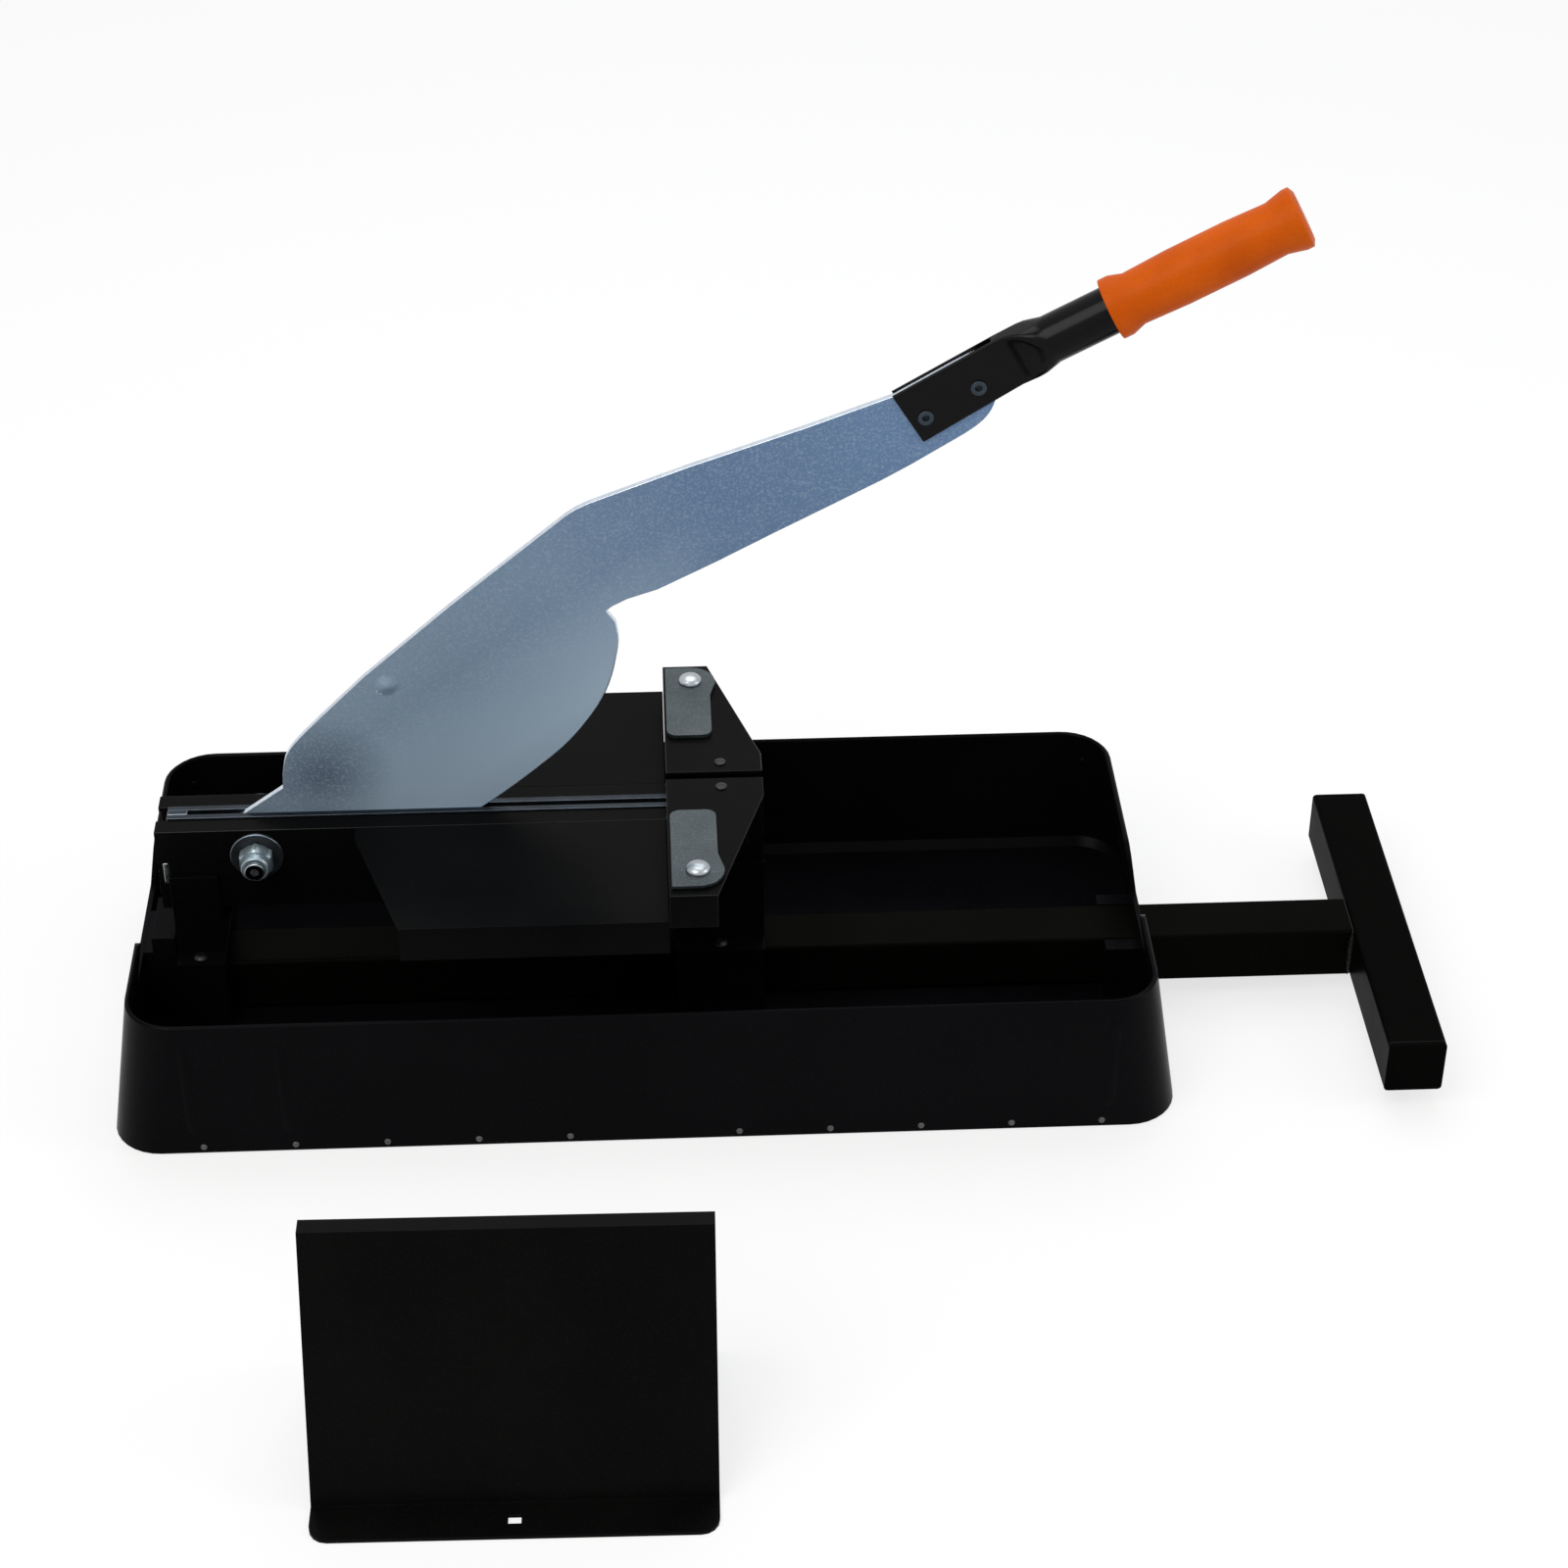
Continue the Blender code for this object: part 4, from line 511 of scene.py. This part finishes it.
finishOfSlot = {
    "black_plastic": "mouldedPlastic", "black_paint": "blackPaint", "tube_paint": "tubePaint",
    "blade_steel": "bladeSheet", "zinc": "brightZinc", "bronze": "bronze", "orange_rubber": "gripRubber",
    "black_rubber": "footRubber", "white_nylon": "slideNylon",
}
finishOfPart = {                      # where a part's own finish differs from its slot's usual one
    "handle_tube": "handlePaint", "fork_rivet_1": "rivetGrey", "fork_rivet_2": "rivetGrey",
    "front_stop_plate": "dullZinc", "back_stop_plate": "dullZinc", "front_counter_blade": "counterSteel",
    "back_counter_blade": "counterSteel", "counter_end_block": "counterSteel", "bar_crossbar": "crossPaint",
    "crossbar_front_cap": "crossPaint", "crossbar_back_cap": "crossPaint", "pivot_front_washer": "washerZinc",
    "pivot_back_washer": "washerZinc", "left_front_stand_screw": "darkOxide",
    "left_back_stand_screw": "darkOxide", "right_front_stand_screw": "darkOxide",
    "right_back_stand_screw": "darkOxide", "front_fence_screw": "darkOxide", "back_fence_screw": "darkOxide",
}
print("finishes made:", len(materials))


def finishFor(node):
    return materials[finishOfPart.get(node, finishOfSlot[slotOf[node]])]


def addPiece(name, mesh, finish, body, stands=()):
    # one finished piece in the frame's own axes, riding on a body
    mesh.materials.clear()
    for material in (finish if isinstance(finish, (list, tuple)) else [finish]):
        mesh.materials.append(material)
    piece = bpy.data.objects.new(name, mesh)
    bpy.context.scene.collection.objects.link(piece)
    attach(piece, body)
    if stands:
        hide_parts(*stands)
    return piece


def meshFrom(bm, name, sharpAngle=38):
    mesh = bpy.data.meshes.new(name)
    bm.normal_update()
    bm.to_mesh(mesh)
    bm.free()
    mesh.shade_smooth()
    mesh.set_sharp_from_angle(angle=math.radians(sharpAngle))
    return mesh


def ringPoints(radius, height, count):
    # a level circle of points, or one point where the radius is nothing
    count = count if radius else 1
    angles = [2 * math.pi * i / count for i in range(count)]
    return [(radius * math.cos(angle), radius * math.sin(angle), height) for angle in angles]


def loft(bm, rings):
    # skins a list of closed rings of points, each with the same number of points, and caps both ends
    loops = [[bm.verts.new(point) for point in ring] for ring in rings]
    count = len(loops[0])
    for lower, upper in zip(loops, loops[1:]):
        for i in range(count):
            j = (i + 1) % count
            bm.faces.new((lower[i], lower[j], upper[j], upper[i]))
    bm.faces.new(list(reversed(loops[0])))
    bm.faces.new(loops[-1])
    bmesh.ops.recalc_face_normals(bm, faces=bm.faces[:])


alongUp = 0.001                       # a shorter cross product means the direction runs along up


def frameAlong(start, direction, up=(0, 0, 1)):
    # turns a piece made along +Z so that it starts at a point and runs in a direction
    forward = Vector(direction).normalized()
    side = Vector(up).cross(forward)
    if side.length < alongUp:
        side = Vector((1, 0, 0)).cross(forward)
    side.normalize()
    return Matrix.Translation(start) @ Matrix((side, forward.cross(side), forward)).transposed().to_4x4()


def turned(name, profile, place, sides=48, sharpAngle=38):
    # a turned piece from (radius, height) points; it closes itself where a radius is nothing
    bm = bmesh.new()
    rings = [[bm.verts.new(point) for point in ringPoints(radius, height, sides)]
             for radius, height in profile]
    for lower, upper in zip(rings, rings[1:]):
        for i in range(sides):
            j = (i + 1) % sides
            corners = [lower[i % len(lower)], lower[j % len(lower)]]
            corners += [upper[j % len(upper)], upper[i % len(upper)]]
            corners = [corner for k, corner in enumerate(corners) if corner not in corners[:k]]
            if len(corners) > 2:
                bm.faces.new(corners)
    if len(rings[0]) > 1 and len(rings[-1]) > 1:
        for i in range(sides):
            j = (i + 1) % sides
            bm.faces.new((rings[-1][i], rings[-1][j], rings[0][j], rings[0][i]))
    bmesh.ops.recalc_face_normals(bm, faces=bm.faces[:])
    bm.transform(place)
    return meshFrom(bm, name, sharpAngle)


def domeProfile(radius, height, steps=8, base=0.0):
    return [(radius * math.cos(math.pi / 2 * i / steps), base + height * math.sin(math.pi / 2 * i / steps))
            for i in range(steps)] + [(0, base + height)]


edgeSettings = {
    "default": {"width": 0.0004},
    "pivot_front_washer": {"width": 0.0005, "finish": "counterEdge"},
    "counter_end_block": {"width": 0.0005, "finish": "counterEdge"},
    "tray": {"width": 0.0013, "segments": 3},
    "blade": {"width": 0.0003},
    "support_stand": {"width": 0.0009},
    # the stabiliser's bars, the rails and the fences get their broken edges in a painted highlight
    "bar_stem": {"width": 0.0026, "segments": 3, "finish": "paintedEdgeHighlight"},
    "bar_crossbar": {"width": 0.0026, "segments": 3, "finish": "paintedEdgeHighlight"},
    "crossbar_front_cap": {"width": 0.0042, "segments": 5},
    "crossbar_back_cap": {"width": 0.0042, "segments": 5},
    "front_rail": {"width": 0.0016, "segments": 3, "finish": "paintedEdgeHighlight"},
    "back_rail": {"width": 0.0016, "segments": 3, "finish": "paintedEdgeHighlight"},
    "front_fence_plate": {"width": 0.0009, "segments": 3, "finish": "paintedEdgeHighlight"},
    "back_fence_plate": {"width": 0.0009, "segments": 3, "finish": "paintedEdgeHighlight"},
    "left_stand": {"width": 0.0009},
    "right_stand": {"width": 0.0009},
    "front_stop_plate": {"width": 0.0007, "segments": 3},
    "back_stop_plate": {"width": 0.0007, "segments": 3},
    "front_counter_blade": {"width": 0.0008, "segments": 2, "finish": "counterEdge", "cornerRound": 0.0035},
    "back_counter_blade": {"width": 0.0008, "segments": 2, "finish": "counterEdge", "cornerRound": 0.0035},
}
edgeAngle = 32                        # degrees: a sharper fold gets its edge broken
cleanSettings = {"weld": 0.000005, "flat": 0.6}                         # metres, degrees
roundCorner = {"upright": 0.99, "near": 0.0005, "segments": 5}          # how an end corner is found and cut


def cleanMesh(node):
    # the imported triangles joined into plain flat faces
    bm = bmesh.new()
    bm.from_mesh(cadNodes[node].data)
    bmesh.ops.remove_doubles(bm, verts=bm.verts, dist=cleanSettings["weld"])
    flat = math.radians(cleanSettings["flat"])
    bmesh.ops.dissolve_limit(bm, angle_limit=flat, verts=bm.verts, edges=bm.edges)
    return bm


def breakEdges(piece, width, segments=2):
    bevel = piece.modifiers.new("brokenEdges", "BEVEL")
    bevel.width = width
    bevel.segments = segments
    bevel.limit_method = "ANGLE"
    bevel.angle_limit = math.radians(edgeAngle)
    bevel.use_clamp_overlap = True
    normals = piece.modifiers.new("flatFaces", "WEIGHTED_NORMAL")
    normals.keep_sharp = False
    return bevel


def weightOuterCorner(bm, node, search):
    # marks the upright edge at the left end that lies farthest from the blade
    low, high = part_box(node)
    outer = low.y if abs(low.y) > abs(high.y) else high.y
    weights = bm.edges.layers.float.new("bevel_weight_edge")
    for edge in bm.edges:
        middle = (edge.verts[0].co + edge.verts[1].co) / 2
        run = edge.verts[1].co - edge.verts[0].co
        upright = abs(run.z) > search["upright"] * run.length
        if upright and max(abs(middle.x - low.x), abs(middle.y - outer)) < search["near"]:
            edge[weights] = 1.0


def dressPart(node):
    settings = dict(edgeSettings.get(node) or edgeSettings["default"])
    edgeFinish, cornerRound = settings.pop("finish", None), settings.pop("cornerRound", None)
    bm = cleanMesh(node)
    if cornerRound:
        weightOuterCorner(bm, node, roundCorner)
    finish = [finishFor(node)] + ([materials[edgeFinish]] if edgeFinish else [])
    mesh = meshFrom(bm, node + "_look", edgeAngle)
    piece = addPiece(node + "_look", mesh, finish, bodyOf[node], [node])
    if cornerRound:
        corner = piece.modifiers.new("roundCorner", "BEVEL")
        corner.width = cornerRound
        corner.segments = roundCorner["segments"]
        corner.limit_method = "WEIGHT"
    bevel = breakEdges(piece, **settings)
    # a second finish goes on the broken edges; for the black painted parts it is a painted highlight
    if edgeFinish:
        bevel.material = 1


bladeLook = {
    "grindWidth": 0.0018,            # ground face along the cutting lobe
    "grindShare": 0.52,              # the lobe lies below this share of the blade's height
    "grindBack": 0.56,               # and left of this share of its length
    "sheetFacing": 0.7,              # a face turned this far to the front or back is sheet, the rest is rim
    "rimUp": 0.2,                    # the cutting rim faces lower than this
    "rimLeft": -0.3,                 # and no farther left than this
}


def dressBlade(settings):
    # sheet faces, brighter cut edges all round, and a ground face along the curved cutting edge
    bm = cleanMesh("blade")
    low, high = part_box("blade")
    lobeTop = low.z + (high.z - low.z) * settings["grindShare"]
    lobeRight = low.x + (high.x - low.x) * settings["grindBack"]
    for face in bm.faces:
        face.material_index = 0 if abs(face.normal.y) > settings["sheetFacing"] else 1
    weights = bm.edges.layers.float.new("bevel_weight_edge")
    for edge in bm.edges:
        middle = (edge.verts[0].co + edge.verts[1].co) / 2
        faces = edge.link_faces
        if len(faces) == 2 and {face.material_index for face in faces} == {0, 1}:
            rimNormal = next(face.normal for face in faces if face.material_index == 1)
            faces = rimNormal.z < settings["rimUp"] and rimNormal.x > settings["rimLeft"]
            if faces and middle.z < lobeTop and middle.x < lobeRight and middle.y < 0:
                edge[weights] = 1.0
    mesh = meshFrom(bm, "blade_look", edgeAngle)
    indices = [face.material_index for face in mesh.polygons]
    piece = addPiece("blade_look", mesh, [materials["bladeSheet"], materials["groundEdge"]], "lever",
                     ["blade"])
    for face, index in zip(mesh.polygons, indices):
        face.material_index = index
    grind = piece.modifiers.new("groundFace", "BEVEL")
    grind.width = settings["grindWidth"]
    grind.segments = 1
    grind.limit_method = "WEIGHT"
    grind.material = 1
    breakEdges(piece, edgeSettings["blade"]["width"]).material = 1


bladeRivetLook = {
    "steps": 12,                     # of the dimple's swell
    "sides": 40,
    "sink": 0.0004,                  # how deep the dimple starts under the sheet's face
    "hole": (-0.0040, -0.0042),      # from the dimple's middle
    "holeRadius": 0.0017,
    "holeRim": 0.0004,
    "holeSides": 24,
    "holeSink": 0.0003,
    "proud": 0.00012,                # the hole's rim above the sheet
    "rimCrown": 1.5,                 # shares of that height
    "pitEdge": 0.8,
    "pitMiddle": 0.4,
}


def dressBladeRivet(settings):
    # a soft pressed dome on both sides, with a small hole beside it on the front, drawn as a raised rim round
    # a disc in painted shade
    low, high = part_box("blade_rivet")
    centre = (low + high) / 2
    radius = (high.x - low.x) / 2
    bladeLow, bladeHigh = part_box("blade")
    steps = settings["steps"]
    for side, sign, face in (("front", -1, bladeLow.y), ("back", 1, bladeHigh.y)):
        height = abs((low.y if sign < 0 else high.y) - face)
        place = frameAlong((centre.x, face, centre.z), (0, sign, 0))
        swell = [(radius * share, height * (0.5 + 0.5 * math.cos(math.pi * share)))
                 for share in [1 - i / steps for i in range(steps)]] + [(0, height)]
        profile = [(radius, -settings["sink"])] + swell
        name = "bladeDimple_" + side
        addPiece(name, turned(name, profile, place, settings["sides"], 60), materials["bladeSheet"], "lever",
                 ["blade_rivet"] if side == "front" else ())
    spot = (centre.x + settings["hole"][0], bladeLow.y, centre.z + settings["hole"][1])
    rim, radius, proud, sink = (settings[key] for key in ("holeRim", "holeRadius", "proud", "holeSink"))
    ring = [(radius + rim, -sink), (radius + rim, proud), (radius, proud * settings["rimCrown"]),
            (radius - rim, proud), (radius - rim, -sink)]
    pit = [(0, -sink), (radius - rim / 2, -sink), (radius - rim / 2, proud * settings["pitEdge"]),
           (0, proud * settings["pitMiddle"])]
    for name, profile, finish in (("bladeHoleRim", ring, "groundEdge"), ("bladeHole", pit, "paintedHoleShade")):
        mesh = turned(name, profile, frameAlong(spot, (0, -1, 0)), settings["holeSides"])
        addPiece(name, mesh, materials[finish], "lever")


threadSettings = {
    "pitch": 0.00175,
    "depth": 0.0007,
    "crestFrom": 0.35,               # shares of the pitch
    "crestTo": 0.5,
    "root": 0.9,
    "lead": 0.3,
}
hexPoints = 48                        # round the whole hexagon


def threadProfile(radius, start, end, settings):
    # grooves at the thread's pitch with a chamfered tip
    pitch, root = settings["pitch"], radius - settings["depth"]
    points = [(root, start)]
    height = start
    while height + pitch < end - settings["depth"]:
        points += [(radius, height + pitch * settings["crestFrom"]),
                   (radius, height + pitch * settings["crestTo"]), (root, height + pitch * settings["root"])]
        height += pitch
    lead = height + pitch * settings["lead"]
    return points + [(radius, lead), (radius, end - settings["depth"]), (root, end)]


def hexRings(across, heights):
    # rings of a hexagon held inside a circle that may be smaller than its corners
    rings = []
    for height, limit in heights:
        ring = []
        for i in range(hexPoints):
            angle = 2 * math.pi * i / hexPoints
            offset = (angle + math.pi / 6) % (math.pi / 3) - math.pi / 6
            reach = min(across / 2 / math.cos(offset), limit)
            ring.append((reach * math.cos(angle), reach * math.sin(angle), height))
        rings.append(ring)
    return rings


lockNutLook = {
    "hexShare": 0.62,                # of the nut's height
    "corner": 0.0007,                # chamfer on the hexagon's corners
    "footCut": 2,                    # the chamfers' depth and height against it
    "topCut": 1.5,
    "collarShare": 0.92,             # collar's radius against half the width across flats
    "collarOverlap": 0.0003,
    "collarRound": ((1, 0.86), (0.96, 0.95), (0.88, 1)),   # shares of its radius and the nut's height
    "mouth": 0.0002,                 # chamfer and play round the insert
    "mouthShare": 0.97,
    "insertWall": 0.0016,
    "insertShares": (0.70, 0.93, 0.90),                    # foot, outer top and inner top
    "boltRadius": 0.006,
    "boltFrom": 0.6,                 # where the thread starts, as a share of the nut's height
    "tipShare": 0.45,                # radius of the tip's hollow
    "tipHollow": 0.0012,
}


def dressLockNut(settings):
    low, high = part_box("pivot_lock_nut")
    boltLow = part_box("pivot_bolt")[0]
    centre = Vector(((low.x + high.x) / 2, high.y, (low.z + high.z) / 2))
    across = min(high.x - low.x, high.z - low.z)
    height = high.y - low.y
    reach = across / math.sqrt(3)
    hexHeight, corner = height * settings["hexShare"], settings["corner"]
    place = frameAlong(centre, (0, -1, 0))
    bm = bmesh.new()
    loft(bm, hexRings(across, [(0, reach - settings["footCut"] * corner), (corner, reach),
                               (hexHeight - settings["topCut"] * corner, reach), (hexHeight, across / 2)]))
    bm.transform(place)
    addPiece("lockNut_hex", meshFrom(bm, "lockNut_hex", 30), materials["nutZinc"], "frame",
             ["pivot_lock_nut"])

    collar = across / 2 * settings["collarShare"]
    bolt, mouth = settings["boltRadius"], settings["mouth"]
    inner = bolt + settings["insertWall"]
    rounded = [(collar * share, height * rise) for share, rise in settings["collarRound"]]
    collarProfile = [(collar, hexHeight - settings["collarOverlap"])] + rounded + [
        (inner + mouth, height), (inner, height * settings["mouthShare"]), (inner, hexHeight)]
    foot, outerTop, innerTop = (height * share for share in settings["insertShares"])
    insertProfile = [(inner, foot), (inner, outerTop), (bolt + mouth, innerTop), (bolt + mouth, foot)]
    tip, start = high.y - boltLow.y, height * settings["boltFrom"]
    boltProfile = [(0, start)] + threadProfile(bolt, start, tip, threadSettings) + [
        (bolt * settings["tipShare"], tip), (0, tip - settings["tipHollow"])]
    for name, profile, finish, sides, sharpAngle in (
            ("lockNut_collar", collarProfile, "nutZinc", 48, 50),
            ("lockNut_insert", insertProfile, "lockNylon", 40, 38),
            ("pivotBolt_tip", boltProfile, "brightZinc", 40, 60)):
        addPiece(name, turned(name, profile, place, sides, sharpAngle), materials[finish], "frame")


stopRivetLook = {"flange": 0.0006, "lift": 0.0002, "steps": 10}


def dressStopRivet(side, settings):
    # mushroom head with a thin flange over the stop plate
    node = side + "_stop_rivet"
    low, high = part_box(node)
    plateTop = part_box(side + "_stop_plate")[1].z
    centre = ((low.x + high.x) / 2, (low.y + high.y) / 2, plateTop)
    radius = (high.x - low.x) / 2
    flange, lift = settings["flange"], settings["lift"]
    dome = domeProfile(radius, high.z - plateTop - flange, settings["steps"], flange)
    mesh = turned(node + "_head", [(0, lift), (radius, lift)] + dome, frameAlong(centre, (0, 0, 1)), 48, 50)
    addPiece(node + "_head", mesh, materials["domeZinc"], "frame")


trayDetails = {
    "wallLean": 0.0025,              # of the front wall, from the rim to the bench
    "sink": 0.0002,                  # how far a detail starts inside the wall
    "domeSteps": 6,
    "nubGroups": ((-0.2630, 5), (0.0544, 5)),      # first along X, how many
    "nubPitch": 0.0542,
    "nubHeight": 0.0056,             # middle above the bench
    "nubRadius": 0.0021,
    "nubProud": 0.0019,
    "nubSides": 20,
    "ribs": (-0.2680, -0.2120, 0.2750),            # shallow upright ribs on the front wall
    "ribWidth": 0.0085,
    "ribProud": 0.0008,
    "ribDepth": 0.0006,              # its back inside the wall
    "ribFoot": 0.016,
    "ribTop": 0.084,
    "ribShares": (0, 0.04, 0.12, 0.5, 0.88, 0.96, 1),
    "ribRise": 3,                    # how fast it swells at its ends
    "ribPoints": 8,                  # across
    "cornerPins": (-0.2885, 0.2890),
    "pinInset": 0.0066,              # from the back wall's outer face
    "pinHeight": 0.078,
    "pinRadius": 0.0030,
    "pinLength": 0.003,
    "pinDome": 0.6,                  # its height against the radius
    "pinSides": 24,
}


def wallFace(low, high, height, lean):
    # outer Y of the front wall at a height; the wall leans in toward the bench
    return low.y + lean * (1 - (height - low.z) / (high.z - low.z))


def addTrayPiece(name, mesh, finish):
    addPiece(name, mesh, materials[finish], "frame")


def addNubs(low, high, settings):
    height, radius, sink = settings["nubHeight"], settings["nubRadius"], settings["sink"]
    face = wallFace(low, high, height, settings["wallLean"])
    profile = [(0, 0)] + domeProfile(radius, settings["nubProud"], settings["domeSteps"])
    spots = [first + settings["nubPitch"] * i for first, count in settings["nubGroups"] for i in range(count)]
    for number, along in enumerate(spots):
        name = "trayNub_%d" % number
        place = frameAlong((along, face + sink, height), (0, -1, 0))
        # the nubs are coloured with a painted glint
        addTrayPiece(name, turned(name, profile, place, settings["nubSides"]), "paintedGlintGrey")


def addRibs(low, high, settings):
    foot, top, points, sink = (settings[key] for key in ("ribFoot", "ribTop", "ribPoints", "sink"))
    for number, along in enumerate(settings["ribs"]):
        rings = []
        for share in settings["ribShares"]:
            height = foot + (top - foot) * share
            swell = settings["ribProud"] * min(1, math.sin(math.pi * share) * settings["ribRise"])
            face = wallFace(low, high, height, settings["wallLean"])
            ring = []
            for i in range(points + 1):
                across = i / points - 0.5
                out = (swell + sink) * math.cos(math.pi * across)
                ring.append((along + settings["ribWidth"] * across, face + sink - out, height))
            rings.append(ring + [(along, face + settings["ribDepth"], height)])
        bm = bmesh.new()
        loft(bm, rings)
        name = "trayRib_%d" % number
        addTrayPiece(name, meshFrom(bm, name, 60), "mouldedPlastic")


def addCornerPins(high, settings):
    radius, length = settings["pinRadius"], settings["pinLength"]
    dome = domeProfile(radius, radius * settings["pinDome"], settings["domeSteps"])
    profile = [(0, -length), (radius, -length), (radius, 0)] + dome[1:]
    for number, along in enumerate(settings["cornerPins"]):
        name = "trayPin_%d" % number
        place = frameAlong((along, high.y - settings["pinInset"], settings["pinHeight"]), (0, -1, 0))
        addTrayPiece(name, turned(name, profile, place, settings["pinSides"]), "mouldedPlastic")


weldSettings = {
    "radius": 0.0026,
    "ripples": 9,
    "ripplePoints": 4,               # rings to a ripple
    "rippleDepth": 0.14,
    "sides": 12,
    "sag": 0.35,                     # how far the bead sinks into the corner, of its radius
    "sway": ((0.10, 23.0, 0), (0.07, 41.0, 1.3)),  # share of the radius, rate and phase of two slow waves
    "endShare": 0.25,                # how thin the ends are, and how fast they fill out
    "endRise": 4,
    "footGap": 0.002,
    "topGap": 0.001,
}


def addWeld(name, start, end, body, settings):
    # a bead of overlapping ripples, a little uneven from one to the next
    start, end = Vector(start), Vector(end)
    ripples, depth = settings["ripples"], settings["rippleDepth"]
    steps = ripples * settings["ripplePoints"]
    rings = []
    for i in range(steps + 1):
        share = i / steps
        ripple = 1 - depth + depth * math.cos(2 * math.pi * share * ripples)
        uneven = 1 + sum(size * math.sin(share * rate + phase) for size, rate, phase in settings["sway"])
        ends = min(1, settings["endShare"] + settings["endRise"] * min(share, 1 - share))
        size = settings["radius"] * ripple * uneven * ends
        rings.append(ringPoints(size, (end - start).length * share, settings["sides"]))
    bm = bmesh.new()
    loft(bm, rings)
    bm.transform(frameAlong(start, end - start, (0, 1, 0)))
    addPiece(name, meshFrom(bm, name, 70), materials["weldMetal"], body)


def addStabiliserWelds(settings):
    low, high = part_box("bar_stem")
    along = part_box("bar_crossbar")[0].x - settings["radius"] * settings["sag"]
    foot, top = settings["footGap"], settings["topGap"]
    for side, across in (("front", low.y), ("back", high.y)):
        addWeld("stabiliserWeld_" + side, (along, across, low.z + foot), (along, across, high.z - top),
                "stabiliser", settings)
    addWeld("stabiliserWeld_under", (along, low.y + foot, low.z), (along, high.y - foot, low.z), "stabiliser",
            settings)


replacedBySpecial = {"blade", "blade_rivet", "pivot_lock_nut"}
for partName in cadNodes:
    if partName not in replacedBySpecial:
        dressPart(partName)
print("packed parts dressed")
dressBlade(bladeLook)
dressBladeRivet(bladeRivetLook)
dressLockNut(lockNutLook)
for stopSide in ("front", "back"):
    dressStopRivet(stopSide, stopRivetLook)
print("blade, nut and rivets dressed")
trayLow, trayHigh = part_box("tray")
addNubs(trayLow, trayHigh, trayDetails)
addRibs(trayLow, trayHigh, trayDetails)
addCornerPins(trayHigh, trayDetails)
print("tray's nubs, ribs and pins added")
addStabiliserWelds(weldSettings)
print("stabiliser's welds added")
